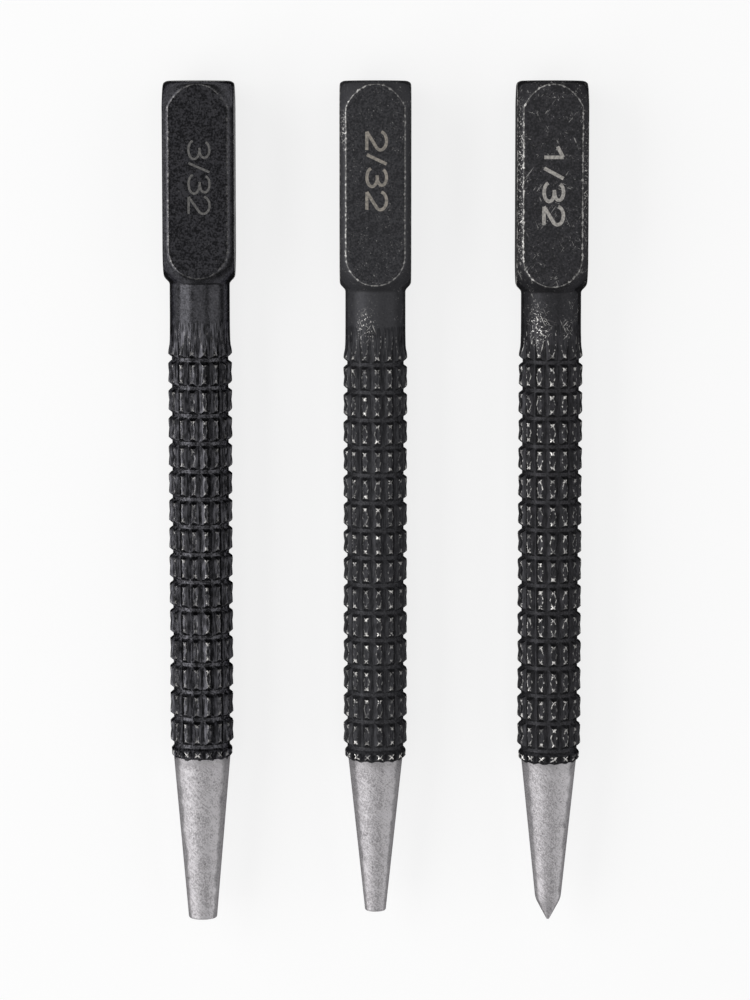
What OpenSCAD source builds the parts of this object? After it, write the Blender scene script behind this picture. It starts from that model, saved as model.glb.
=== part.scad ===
// Set of three one-piece nail setters, lying side by side with their heads at +Y and their tips towards -Y.
// Each one is a single steel bar: square head, round neck, rolled grid-knurl grip and ground taper.
// All lengths are millimetres. Along a setter, distances are counted from its struck face.

/* [Set] */
// Distance between the axes of neighbouring setters
axis_spacing = 21.05; // [14:0.05:40]

/* [Head] */
// Width of the square head across its flats
head_across_flats = 8.55; // [8:0.05:10]
// Diameter of the turned form that rounds the head's corners and both of its ends
head_turned_d = 11.1; // [10.2:0.05:11.3]
// Diameter of the flat that the hammer strikes
struck_face_d = 7.1; // [5:0.1:8]

/* [Neck] */
// Diameter of the round neck between the head and the grip
neck_d = 7.2; // [7:0.05:7.4]
// Length over which the neck swells into the grip, counted from the first ring groove
lead_in = 4.8; // [3:0.1:6]

/* [Rings of the grip] */
// Number of ring grooves rolled round the grip
ring_count = 15; // [6:1:15]
// Diameter at the bottom of a ring groove
ring_floor_d = 6.78; // [6.5:0.02:6.9]
// Width of a ring groove at its bottom
ring_floor_w = 0.4; // [0.2:0.05:0.6]
// Diameter at which a ring groove's walls end
ring_mouth_d = 7.54; // [7.44:0.02:7.64]
// Width of a ring groove where its walls end
ring_mouth_w = 1.2; // [1:0.05:1.4]
// Diameter over the lips that the rolling raises beside a ring groove
lip_d = 7.7; // [7.66:0.02:7.9]
// Distance between the two lips of a ring groove
lip_gap = 1.7; // [1.5:0.05:2]
// Diameter in the dished middle of the pads
pad_middle_d = 7.42; // [7.2:0.02:7.6]

/* [Flutes of the grip] */
// Diameter at the bottom of the flutes, slightly more than that of the ring grooves
flute_floor_d = 6.92; // [6.86:0.02:7.1]
// Width of a flute at its bottom
flute_floor_w = 0.25; // [0.1:0.05:0.3]
// Length over which the flutes run out into the neck, counted from the first ring groove
flute_run_out = 4.2; // [2:0.1:4.6]

/* [Last band of the grip] */
// Diameter of the narrow band between the last ring groove and the ground taper
last_band_d = 7.37; // [7.2:0.02:7.5]
// Length of that band's crest
last_band_crest = 0.5; // [0.2:0.05:0.7]
// Distance from the last ring groove to the start of the ground taper
taper_offset = 1.55; // [1.4:0.05:2]

/* [Tips] */
// Radius that breaks the edge of a blunt tip
tip_edge_r = 0.25; // [0.1:0.05:0.3]
// Depth of the cup ground into a blunt tip
cup_depth = 0.3; // [0.1:0.05:0.5]

/* [Setter 3/32] */
// Overall length of the setter with the widest tip
wide_length = 101.6; // [98:0.1:110]
// Length of its head, from the struck face to the neck
wide_head = 24; // [20:0.1:27]
// Distance from its struck face to its first ring groove
wide_first_ring = 33.1; // [32:0.05:34]
// Pitch of its ring grooves
wide_ring_pitch = 3.345; // [3.2:0.005:3.5]
// Number of its flutes
wide_flutes = 16; // [10:1:16]
// Angle of one flute from the top of the grip
wide_flute_angle = -2; // [-15:1:15]
// Width of its flutes across their lips
wide_flute_w = 0.5; // [0.4:0.05:0.9]
// Diameter at the start of its ground taper
wide_root_d = 6.86; // [6:0.02:7]
// Diameter at the end of its ground taper
wide_tip_d = 3.46; // [3.1:0.02:4.2]
// Nominal size of its tip, which is the width of the cup
wide_cup_d = 2.38; // [1.8:0.02:2.5]

/* [Setter 2/32] */
// Overall length of the setter with the middle tip
middle_length = 100.7; // [98:0.1:110]
// Length of its head, from the struck face to the neck
middle_head = 24.85; // [20:0.05:27]
// Distance from its struck face to its first ring groove
middle_first_ring = 33.65; // [32:0.05:34]
// Pitch of its ring grooves
middle_ring_pitch = 3.325; // [3.2:0.005:3.5]
// Number of its flutes
middle_flutes = 15; // [10:1:16]
// Angle of one flute from the top of the grip
middle_flute_angle = 10; // [-15:1:15]
// Width of its flutes across their lips
middle_flute_w = 0.75; // [0.4:0.05:0.9]
// Diameter at the start of its ground taper
middle_root_d = 6.56; // [6:0.02:7]
// Diameter at the end of its ground taper
middle_tip_d = 2.56; // [2.4:0.02:3.2]
// Nominal size of its tip, which is the width of the cup
middle_cup_d = 1.59; // [1.2:0.01:1.7]

/* [Setter 1/32] */
// Overall length of the pointed setter
pointed_length = 101.8; // [98:0.1:110]
// Length of its head, from the struck face to the neck
pointed_head = 25; // [20:0.1:27]
// Distance from its struck face to its first ring groove
pointed_first_ring = 33.4; // [32:0.05:34]
// Pitch of its ring grooves
pointed_ring_pitch = 3.36; // [3.2:0.005:3.5]
// Number of its flutes
pointed_flutes = 15; // [10:1:16]
// Angle of one flute from the top of the grip
pointed_flute_angle = 13; // [-15:1:15]
// Width of its flutes across their lips
pointed_flute_w = 0.75; // [0.4:0.05:0.9]
// Diameter at the start of its ground taper
pointed_root_d = 6.64; // [6:0.02:7]
// Diameter where its ground taper meets the point
pointed_shoulder_d = 3.09; // [2.6:0.02:3.6]
// Length of its conical point
point_length = 2.6; // [1.5:0.1:4]
// Diameter of the small flat at the end of its point, close to a third of the nominal size
point_flat_d = 0.3; // [0.1:0.05:0.8]

/* [Hidden] */
$fn = 96;
blackened = "#2a2a2c";
bare_steel = "#a9a5a3";
half_turn = 180;
quarter_turn = 90;
full_turn = 360;
// Chords in each rounded end of the head, in a broken tip edge and in a cup
head_chords = 8;
edge_chords = 4;
cup_chords = 5;
// How far cutters reach past what they cut
overrun = 1;
row_length = max(wide_length, middle_length, pointed_length);
neck_r = neck_d / 2;
lip_r = lip_d / 2;
flute_floor_r = flute_floor_d / 2;

// Point at an angle on a circle round [centre_r, centre_s], turning from the radial direction to the axis
function round_point(centre_r, centre_s, r, angle) = [centre_r + r * cos(angle), centre_s + r * sin(angle)];

// Points along that circle from one angle to another
function round_points(centre_r, centre_s, r, from, to, chords) = [
    for (i = [0 : chords])
        round_point(centre_r, centre_s, r, from + (to - from) * i / chords)
];

// Distance from the centre of a rounded end of the head to where it reaches diameter d
function round_end(d) = sqrt(pow(head_turned_d, 2) - pow(d, 2)) / 2;

// Outline of the turned head, from the struck face to the neck
function head_outline(head) = concat(
    round_points(0, round_end(struck_face_d), head_turned_d / 2, -acos(struck_face_d / head_turned_d), 0, head_chords),
    round_points(0, head - round_end(neck_d), head_turned_d / 2, 0, acos(neck_d / head_turned_d), head_chords)
);

// Outline of the half pad before a ring groove and of the groove itself, whose middle is at s
function ring_outline(s, pitch) = [
    [pad_middle_d / 2, s - pitch / 2],
    [lip_r, s - lip_gap / 2],
    [ring_mouth_d / 2, s - ring_mouth_w / 2],
    [ring_floor_d / 2, s - ring_floor_w / 2],
    [ring_floor_d / 2, s + ring_floor_w / 2],
    [ring_mouth_d / 2, s + ring_mouth_w / 2],
    [lip_r, s + lip_gap / 2]
];

// Outline of the last ring groove, whose middle is at s, and of the narrow band between it and the taper
function last_ring_outline(s, pitch) = [
    [pad_middle_d / 2, s - pitch / 2],
    [lip_r, s - lip_gap / 2],
    [ring_mouth_d / 2, s - ring_mouth_w / 2],
    [ring_floor_d / 2, s - ring_floor_w / 2],
    [ring_floor_d / 2, s + ring_floor_w / 2],
    [last_band_d / 2, s + ring_mouth_w / 2],
    [last_band_d / 2, s + ring_mouth_w / 2 + last_band_crest]
];

// Distances of the last ring groove and of the start of the taper
function last_ring(first_ring, pitch) = first_ring + (ring_count - 1) * pitch;
function taper_start(first_ring, pitch) = last_ring(first_ring, pitch) + taper_offset;

// Outline of the blackened shank: head, neck, grip and last band
function shank_outline(head, first_ring, pitch, root_d) = concat(
    [[0, 0]],
    head_outline(head),
    [[neck_r, first_ring - lead_in]],
    [for (i = [0 : ring_count - 2]) each ring_outline(first_ring + i * pitch, pitch)],
    last_ring_outline(last_ring(first_ring, pitch), pitch),
    [[root_d / 2, taper_start(first_ring, pitch)], [0, taper_start(first_ring, pitch)]]
);

// Outline of a ground taper with a blunt end: its edge is broken and its middle is cupped
function blunt_outline(start, length, root_d, tip_d, cup_d) =
    let (
        lean = atan((root_d - tip_d) / 2 / (length - start)),
        edge_r = tip_d / 2 + tip_edge_r * tan(lean) - tip_edge_r / cos(lean),
        cup_r = (pow(cup_d / 2, 2) + pow(cup_depth, 2)) / 2 / cup_depth
    )
    concat(
        [[0, start], [root_d / 2, start]],
        round_points(edge_r, length - tip_edge_r, tip_edge_r, lean, quarter_turn, edge_chords),
        round_points(0, length - cup_depth + cup_r, cup_r, -acos(cup_d / 2 / cup_r), -quarter_turn, cup_chords)
    );

// Outline of a ground taper that ends in a conical point
function pointed_outline(start, length, root_d, shoulder_d, flat_d) = [
    [0, start],
    [root_d / 2, start],
    [shoulder_d / 2, length - point_length],
    [flat_d / 2, length],
    [0, length]
];

// Lays a setter down: its axis turns from +Z to -Y and its head's lower flat comes to rest at height zero
module lying_at(x) {
    translate([x, row_length / 2, head_across_flats / 2])
        rotate([quarter_turn, 0, 0])
            children();
}

// The four flats of a square head, as the slabs that milling takes off
module head_flats(head) {
    slab = head_turned_d;
    for (side = [0 : 3])
        rotate([0, 0, side * quarter_turn])
            translate([head_across_flats / 2, -slab, -overrun])
                cube([slab, 2 * slab, head + overrun]);
}

// Cross-section of a flute, with its bottom on the X axis at the flute's floor, opening outwards
module flute_section(flute_w) {
    opened = lip_r + overrun;
    opened_w = flute_floor_w + (flute_w - flute_floor_w) * (opened - flute_floor_r) / (lip_r - flute_floor_r);
    polygon([
        [flute_floor_r, -flute_floor_w / 2],
        [opened, -opened_w / 2],
        [opened, opened_w / 2],
        [flute_floor_r, flute_floor_w / 2]
    ]);
}

// One flute along the top of the +X side: it runs out in the neck and is open at the taper
module flute(first_ring, end, flute_w) {
    bend = first_ring - flute_run_out / 4;
    rise = atan((neck_r - flute_floor_r) / (flute_run_out * 3 / 4));
    translate([0, 0, bend])
        linear_extrude(height = end - bend)
            flute_section(flute_w);
    translate([flute_floor_r, 0, bend])
        rotate([0, -rise, 0])
            translate([-flute_floor_r, 0, -flute_run_out])
                linear_extrude(height = flute_run_out)
                    flute_section(flute_w);
}

// The rolled flutes of a grip, spread evenly round it
module flutes(count, angle, first_ring, end, flute_w) {
    for (i = [0 : count - 1])
        rotate([0, 0, quarter_turn - angle - i * full_turn / count])
            flute(first_ring, end, flute_w);
}

// Blackened part of a setter: turned and rolled bar with a squared head
module shank(head, first_ring, pitch, root_d, count, angle, flute_w) {
    end = taper_start(first_ring, pitch) + overrun;
    difference() {
        rotate_extrude()
            polygon(shank_outline(head, first_ring, pitch, root_d));
        head_flats(head);
        flutes(count, angle, first_ring, end, flute_w);
    }
}

module nail_setter_3_32() {
    start = taper_start(wide_first_ring, wide_ring_pitch);
    lying_at(-axis_spacing) {
        color(blackened)
            shank(wide_head, wide_first_ring, wide_ring_pitch, wide_root_d,
                wide_flutes, wide_flute_angle, wide_flute_w);
        color(bare_steel)
            rotate_extrude()
                polygon(blunt_outline(start, wide_length, wide_root_d, wide_tip_d, wide_cup_d));
    }
}

module nail_setter_2_32() {
    start = taper_start(middle_first_ring, middle_ring_pitch);
    lying_at(0) {
        color(blackened)
            shank(middle_head, middle_first_ring, middle_ring_pitch, middle_root_d,
                middle_flutes, middle_flute_angle, middle_flute_w);
        color(bare_steel)
            rotate_extrude()
                polygon(blunt_outline(start, middle_length, middle_root_d, middle_tip_d, middle_cup_d));
    }
}

module nail_setter_1_32() {
    start = taper_start(pointed_first_ring, pointed_ring_pitch);
    lying_at(axis_spacing) {
        color(blackened)
            shank(pointed_head, pointed_first_ring, pointed_ring_pitch, pointed_root_d,
                pointed_flutes, pointed_flute_angle, pointed_flute_w);
        color(bare_steel)
            rotate_extrude()
                polygon(pointed_outline(start, pointed_length, pointed_root_d, pointed_shoulder_d, point_flat_d));
    }
}

nail_setter_3_32();
nail_setter_2_32();
nail_setter_1_32();
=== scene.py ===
"""Looks of a set of three one-piece steel nail setters that lie side by side on a pale floor.

Each setter is dressed as three pieces: the blackened shank with its square head and rolled grip, the bare
ground taper, and the size mark etched into the head. Sizes are millimetres, and a station is a distance
along the bar from the struck face. Meshes are placed in metres in the frame of the model.
"""

import logging
import math
from dataclasses import dataclass, field, replace
from enum import Enum
from functools import partial, reduce

import bmesh
import bpy
import numpy as np
from mathutils import Euler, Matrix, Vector


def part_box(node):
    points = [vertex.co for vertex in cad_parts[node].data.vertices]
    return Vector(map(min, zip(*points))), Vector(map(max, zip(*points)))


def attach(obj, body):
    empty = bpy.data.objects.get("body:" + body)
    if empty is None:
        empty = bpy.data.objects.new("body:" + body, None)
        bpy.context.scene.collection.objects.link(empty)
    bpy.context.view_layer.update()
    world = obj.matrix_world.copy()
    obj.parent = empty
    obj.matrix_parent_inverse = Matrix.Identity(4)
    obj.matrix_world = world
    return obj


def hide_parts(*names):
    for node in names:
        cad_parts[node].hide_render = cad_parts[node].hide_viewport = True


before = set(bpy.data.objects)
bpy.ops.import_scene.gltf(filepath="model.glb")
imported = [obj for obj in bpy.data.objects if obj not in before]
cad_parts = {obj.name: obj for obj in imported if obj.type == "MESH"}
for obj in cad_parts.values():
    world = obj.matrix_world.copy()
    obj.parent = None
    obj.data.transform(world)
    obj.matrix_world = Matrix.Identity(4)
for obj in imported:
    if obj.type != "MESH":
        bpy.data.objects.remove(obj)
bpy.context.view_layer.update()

MM = 0.001
# Points closer than this are welded
WELD = 0.002
# Gap that stands for no edge and no ridge near a point
FAR = 9.0
# Angles in degrees above which an edge is shaded sharp
CREASE = 30.0
TAPER_CREASE = 35.0
Triple = tuple[float, float, float]
Point = tuple[float, float]
Rows = dict[str, np.ndarray]
Socket = bpy.types.NodeSocket
log = logging.getLogger("nail_setters")


class TipForm(Enum):
    """How the ground taper of a setter ends."""

    CUPPED = "cupped"
    POINTED = "pointed"


class Band(Enum):
    """Stretches of a rolled grip, each of which repeats one tile of surface round the bar."""

    RUN_OUT = "Run-out tile"
    PADS = "Pad tile"
    LAST = "Last tile"


class Field(Enum):
    """Numbers that a mesh holds, for its finish or for the rolling of its knurl."""

    EDGE_GAP = "edge_gap"
    RIDGE_GAP = "ridge_gap"
    PAD_ALONG = "pad_along"
    SHADE = "shade"
    WEAR = "wear"
    CROWN = "crown"
    LUCK = "luck"
    BELOW_GRIP = "below_grip"
    SCALLOP = "scallop"
    FACING = "facing"


# Fields of a shank's finish, with their values off the grip
SHANK_FIELDS = {
    Field.EDGE_GAP: -FAR,
    Field.RIDGE_GAP: FAR,
    Field.PAD_ALONG: 0.0,
    Field.SHADE: 0.0,
    Field.WEAR: 1.0,
}


@dataclass(frozen=True)
class Ramp:
    """Smooth step: the values that it lies between, and its height before and after them."""

    low: float
    high: float
    before: float = 0.0
    after: float = 1.0

    def at(self, value: np.ndarray | float) -> np.ndarray | float:
        """Height of the step at a value.

        Args:
            value: The value, or an array of values.

        Returns:
            The height.
        """
        share = np.clip((value - self.low) / (self.high - self.low), 0, 1)
        eased = share * share * (3 - 2 * share)
        return self.before + (self.after - self.before) * eased


@dataclass(frozen=True)
class Grain:
    """Noise in a finish: features in a millimetre, finer layers, shift of its seed, and drag."""

    scale: float
    layers: float
    shift: float = 0.0
    drag: float = 0.0


def smooth_min(first: np.ndarray, second: np.ndarray, blend: np.ndarray | float) -> np.ndarray:
    """Smaller of two heights, rounded where they differ by less than the blend."""
    near = np.clip(blend - np.abs(first - second), 0, None) / blend
    return np.minimum(first, second) - near * near * blend / 4


def smooth_max(first: np.ndarray, second: np.ndarray, blend: np.ndarray | float) -> np.ndarray:
    """Larger of two heights, with the corner between them filled."""
    return -smooth_min(-first, -second, blend)


def mirrored(values: np.ndarray, sign: int = 1) -> np.ndarray:
    """Both sides of what is given from its middle line to one side, with a sign for the other side."""
    return np.concatenate([sign * values[:, :0:-1], values], axis=1)


@dataclass(frozen=True)
class Lie:
    """Where a setter lies: the middle of its struck face, in metres."""

    x: float
    y: float
    z: float

    @classmethod
    def of_node(cls, node: str) -> "Lie":
        """Reads the place of a setter from the box of its solid."""
        low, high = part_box(node)
        return cls((low[0] + high[0]) / 2, high[1], (low[2] + high[2]) / 2)

    @property
    def vector(self) -> Vector:
        """The place as a vector."""
        return Vector((self.x, self.y, self.z))


@dataclass
class Surface:
    """A stretch of a bar's surface: points in millimetres, faces, and a number at each point per field."""

    points: np.ndarray
    faces: list[tuple[int, ...]]
    fields: dict[Field, np.ndarray] = field(default_factory=dict)

    @classmethod
    def turned(cls, stations: np.ndarray, angles: np.ndarray, radii: np.ndarray) -> "Surface":
        """Surface round the bar from its radius at each station and angle.

        Args:
            stations: One station per row of points.
            angles: Angles from the top of the bar towards +X, in radians, as rows by columns.
            radii: Radii, as rows by columns.

        Returns:
            The surface, open at both ends.
        """
        rows, columns = radii.shape
        along = np.repeat(stations.reshape(rows, 1), columns, axis=1)
        points = np.stack([radii * np.sin(angles), -along, radii * np.cos(angles)], axis=-1)
        row, column = np.meshgrid(np.arange(rows - 1), np.arange(columns), indexing="ij")
        after = (column + 1) % columns
        near, far = row * columns, (row + 1) * columns
        quads = np.stack([near + column, far + column, far + after, near + after], axis=-1)
        return cls(points.reshape(-1, 3), [tuple(quad) for quad in quads.reshape(-1, 4).tolist()])

    @classmethod
    def halved(cls, wide: np.ndarray, narrow: np.ndarray) -> "Surface":
        """Ring of triangles between a row of points and one with half as many.

        Args:
            wide: The row with twice the points.
            narrow: The row with the fewer points.

        Returns:
            The ring.
        """
        count, start = len(narrow), len(wide)
        faces = []
        for column in range(count):
            after = start + (column + 1) % count
            middle, last = 2 * column + 1, (2 * column + 2) % start
            faces.append((2 * column, start + column, middle))
            faces.append((middle, start + column, after))
            faces.append((middle, after, last))
        return cls(np.vstack([wide, narrow]), faces)

    def close(self, station: float, columns: int, first_row: bool) -> "Surface":
        """Closes one end with a fan round a point on the bar's axis.

        Args:
            station: Where the point is.
            columns: Number of points in a row.
            first_row: Whether the end is at the first row of points, and not at the last.

        Returns:
            The same surface. The last row is closed before the first.
        """
        pole = len(self.points)
        start = 0 if first_row else pole - columns
        self.points = np.vstack([self.points, [0, -station, 0]])
        self.faces += [(pole, start + column, start + (column + 1) % columns) for column in range(columns)]
        self.fields = {name: np.append(values, values[start]) for name, values in self.fields.items()}
        return self

    def joined(self, others: list["Surface"], defaults: dict[Field, float]) -> "Surface":
        """One surface of this one and others, with every field on all of them.

        Args:
            others: The other stretches.
            defaults: Fields, with the value of points that have none.

        Returns:
            The whole surface.
        """
        skins = [self, *others]
        faces, start = [], 0
        for skin in skins:
            faces += [tuple(start + index for index in face) for face in skin.faces]
            start += len(skin.points)
        fields = {}
        for name, default in defaults.items():
            parts = [skin.fields.get(name, np.full(len(skin.points), default)) for skin in skins]
            fields[name] = np.concatenate(parts)
        return Surface(np.vstack([skin.points for skin in skins]), faces, fields)

    def mesh(self, name: str) -> bpy.types.Mesh:
        """Makes a mesh of the surface, in millimetres, with its fields as attributes of the points.

        Args:
            name: Name of the mesh.

        Returns:
            The mesh.
        """
        mesh = bpy.data.meshes.new(name)
        mesh.from_pydata(self.points.tolist(), [], self.faces)
        for field_name, values in self.fields.items():
            attribute = mesh.attributes.new(field_name.value, "FLOAT", "POINT")
            attribute.data.foreach_set("value", np.asarray(values, np.float32).ravel())
        return mesh


def finished(name: str, mesh: bpy.types.Mesh, lie: Lie, crease: float = CREASE) -> bpy.types.Object:
    """Welds a mesh in millimetres, puts it in its place and makes it a piece.

    Args:
        name: Name of the piece.
        mesh: The mesh, measured from the middle of the struck face.
        lie: Where the setter lies.
        crease: Angle in degrees above which an edge is shaded sharp.

    Returns:
        The piece, whose object is at the origin.
    """
    form = bmesh.new()
    form.from_mesh(mesh)
    bmesh.ops.remove_doubles(form, verts=form.verts, dist=WELD)
    bmesh.ops.recalc_face_normals(form, faces=form.faces)
    bmesh.ops.scale(form, vec=(MM, MM, MM), verts=form.verts)
    bmesh.ops.translate(form, vec=lie.vector, verts=form.verts)
    form.to_mesh(mesh)
    form.free()
    mesh.polygons.foreach_set("use_smooth", [True] * len(mesh.polygons))
    mesh.set_sharp_from_angle(angle=math.radians(crease))
    piece = bpy.data.objects.new(name, mesh)
    bpy.context.scene.collection.objects.link(piece)
    return piece


def discard(helper: bpy.types.Object) -> None:
    """Removes a helper and its mesh.

    Args:
        helper: The object that is needed no more.
    """
    mesh = helper.data
    bpy.data.objects.remove(helper)
    bpy.data.meshes.remove(mesh)


def grown(tree: bpy.types.NodeTree, values: dict[str, object]) -> bpy.types.Mesh:
    """Runs a tree of Geometry Nodes once.

    Args:
        tree: The tree.
        values: Values of its inputs, by their names.

    Returns:
        The plain mesh that it makes.
    """
    carrier = bpy.data.objects.new("carrier", bpy.data.meshes.new("carrier"))
    bpy.context.scene.collection.objects.link(carrier)
    modifier = carrier.modifiers.new("tree", "NODES")
    modifier.node_group = tree
    inputs = [item for item in tree.interface.items_tree if item.in_out == "INPUT"]
    sockets = {item.name: item.identifier for item in inputs}
    for name, value in values.items():
        modifier[sockets[name]] = value
    evaluated = carrier.evaluated_get(bpy.context.evaluated_depsgraph_get())
    mesh = bpy.data.meshes.new_from_object(evaluated)
    carrier.modifiers.remove(modifier)
    discard(carrier)
    return mesh


class Graph:
    """Writes one node tree, of a material or of Geometry Nodes."""

    def __init__(self, tree: bpy.types.NodeTree) -> None:
        """Takes the tree to write, and empties it."""
        self.tree = tree
        tree.nodes.clear()

    def add(self, kind: str, **settings: object) -> bpy.types.Node:
        """Adds a node.

        Args:
            kind: Kind of node.
            settings: Properties of the node.

        Returns:
            The node.
        """
        node = self.tree.nodes.new(kind)
        for name, value in settings.items():
            setattr(node, name, value)
        return node

    def feed(self, socket: Socket, value: object) -> None:
        """Feeds an input.

        Args:
            socket: The input.
            value: Output of another node, which is linked, or a value, which is set.
        """
        if isinstance(value, bpy.types.NodeSocket):
            self.tree.links.new(value, socket)
        elif socket.type == "RGBA":
            socket.default_value = (*value, 1.0)
        else:
            socket.default_value = value

    def call(self, kind: str, inputs: dict, output: str | int = 0, **settings: object) -> Socket:
        """Adds a node and feeds it.

        Args:
            kind: Kind of node.
            inputs: Values or sockets, by the name or number of the input.
            output: Name or number of the output that is wanted.
            settings: Properties of the node.

        Returns:
            The output.
        """
        node = self.add(kind, **settings)
        for name, value in inputs.items():
            self.feed(node.inputs[name], value)
        return node.outputs[output]

    def math(self, operation: str, *values: object) -> Socket:
        """Result of a sum on numbers."""
        return self.call("ShaderNodeMath", dict(enumerate(values)), operation=operation)

    def times(self, *values: object) -> Socket:
        """Product of several numbers."""
        return reduce(partial(self.math, "MULTIPLY"), values)

    def most(self, *values: object) -> Socket:
        """Largest of several numbers."""
        return reduce(partial(self.math, "MAXIMUM"), values)

    def step(self, value: object, ramp: Ramp) -> Socket:
        """Height of a smooth step at a number.

        Args:
            value: The number.
            ramp: The step.

        Returns:
            The height.
        """
        inputs = {"Value": value, "From Min": ramp.low, "From Max": ramp.high}
        inputs |= {"To Min": ramp.before, "To Max": ramp.after}
        return self.call("ShaderNodeMapRange", inputs, "Result", interpolation_type="SMOOTHSTEP")

    def noise(self, place: object, grain: Grain, seed: float) -> Socket:
        """Noise between 0 and 1.

        Args:
            place: Where the noise is read.
            grain: Kind of noise.
            seed: Seed of the finish.

        Returns:
            The noise.
        """
        inputs = {"Vector": place, "W": seed + grain.shift, "Scale": grain.scale}
        inputs |= {"Detail": grain.layers, "Distortion": grain.drag}
        return self.call("ShaderNodeTexNoise", inputs, noise_dimensions="4D")

    def blend(self, share: object, low: object, high: object) -> Socket:
        """Mix of two numbers."""
        return self.call("ShaderNodeMix", {0: share, 2: low, 3: high}, data_type="FLOAT")

    def tint(self, share: object, low: object, high: object) -> Socket:
        """Mix of two colours."""
        return self.call("ShaderNodeMix", {0: share, 6: low, 7: high}, 2, data_type="RGBA")

    def field(self, name: Field) -> Socket:
        """Number that the mesh's points hold."""
        return self.call("ShaderNodeAttribute", {}, "Fac", attribute_name=name.value)

    def place(self, lie: Lie, fine: Triple = (1.0, 1.0, 1.0), turn: float = 0.0) -> Socket:
        """Place on a setter in millimetres from the middle of its struck face.

        Args:
            lie: Where the setter lies.
            fine: Factors that make a pattern finer along its own x, y and z.
            turn: Angle in degrees by which the pattern is turned about the vertical.

        Returns:
            The place, as a vector.
        """
        inputs = {
            "Vector": self.call("ShaderNodeTexCoord", {}, "Object"),
            "Location": (lie.x, lie.y, lie.z),
            "Rotation": (0.0, 0.0, math.radians(turn)),
            "Scale": [MM / factor for factor in fine],
        }
        return self.call("ShaderNodeMapping", inputs, vector_type="TEXTURE")

    def across(self, place: Socket) -> Socket:
        """Distance of a place from the bar's axis towards +X."""
        return self.call("ShaderNodeSeparateXYZ", {"Vector": place}, "X")

    def bump(self, shader: bpy.types.Node, height: Socket, depth: float, strength: object = 1.0) -> None:
        """Gives a shader a relief from its height, as a share of a depth in millimetres."""
        inputs = {"Strength": strength, "Distance": depth * MM, "Height": height}
        self.feed(shader.inputs["Normal"], self.call("ShaderNodeBump", inputs))


def principled(name: str, inputs: dict[str, object]) -> tuple[bpy.types.Material, Graph, bpy.types.Node]:
    """Starts a material around one Principled shader.

    Args:
        name: Name of the material.
        inputs: Values that are the same all over the surface.

    Returns:
        The material, the writer of its tree, and its shader.
    """
    material = bpy.data.materials.new(name)
    material.use_nodes = True
    graph = Graph(material.node_tree)
    shader = graph.add("ShaderNodeBsdfPrincipled")
    for socket, value in inputs.items():
        graph.feed(shader.inputs[socket], value)
    output = graph.add("ShaderNodeOutputMaterial")
    graph.feed(output.inputs["Surface"], shader.outputs[0])
    return material, graph, shader


@dataclass(frozen=True)
class Scuff:
    """A scratched patch on top of a shank: its middle and its half-lengths across, along and down."""

    across: float
    station: float
    reach_across: float
    reach_along: float
    strength: float = 1.0
    height: float = 3.2
    reach_down: float = 2.5
    full_share: float = 0.35


@dataclass(frozen=True)
class BlackOxide:
    """Black oxide on steel, worn through to the metal on edges, on the knurl and in scuffs."""

    name: str
    seed: float
    roughness: float
    edge_wear: float
    pad_wear: float
    fleck_wear: float
    scratch_wear: float
    dark: Triple
    light: Triple
    scuffs: tuple[Scuff, ...] = ()
    worn: Triple = (0.86, 0.84, 0.81)
    # Near black of the painted shade in the flutes, on the ring grooves' walls and on the head's flats
    painted_shade: Triple = (0.004, 0.004, 0.005)
    metallic: float = 0.85
    # Share of painted shade that darkens the head's flats
    painted_flat_shade: float = 0.0
    side_wear: float = 0.4
    evenness: float = 0.65
    even_tone: float = 0.5
    even_bump: float = 0.3
    roughness_spread: float = 0.05
    worn_roughness: float = 0.36
    edge_tint: Triple = (0.15, 0.15, 0.15)
    bump: float = 0.03

    def material(self, lie: Lie) -> bpy.types.Material:
        """Makes the finish for one shank.

        Args:
            lie: Where the setter lies.

        Returns:
            The material.
        """
        plain = {"Specular Tint": self.edge_tint, "Specular IOR Level": 0.0}
        material, graph, shader = principled(self.name, plain)
        OxideGraph(self, graph, lie).dress(shader)
        return material


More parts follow.
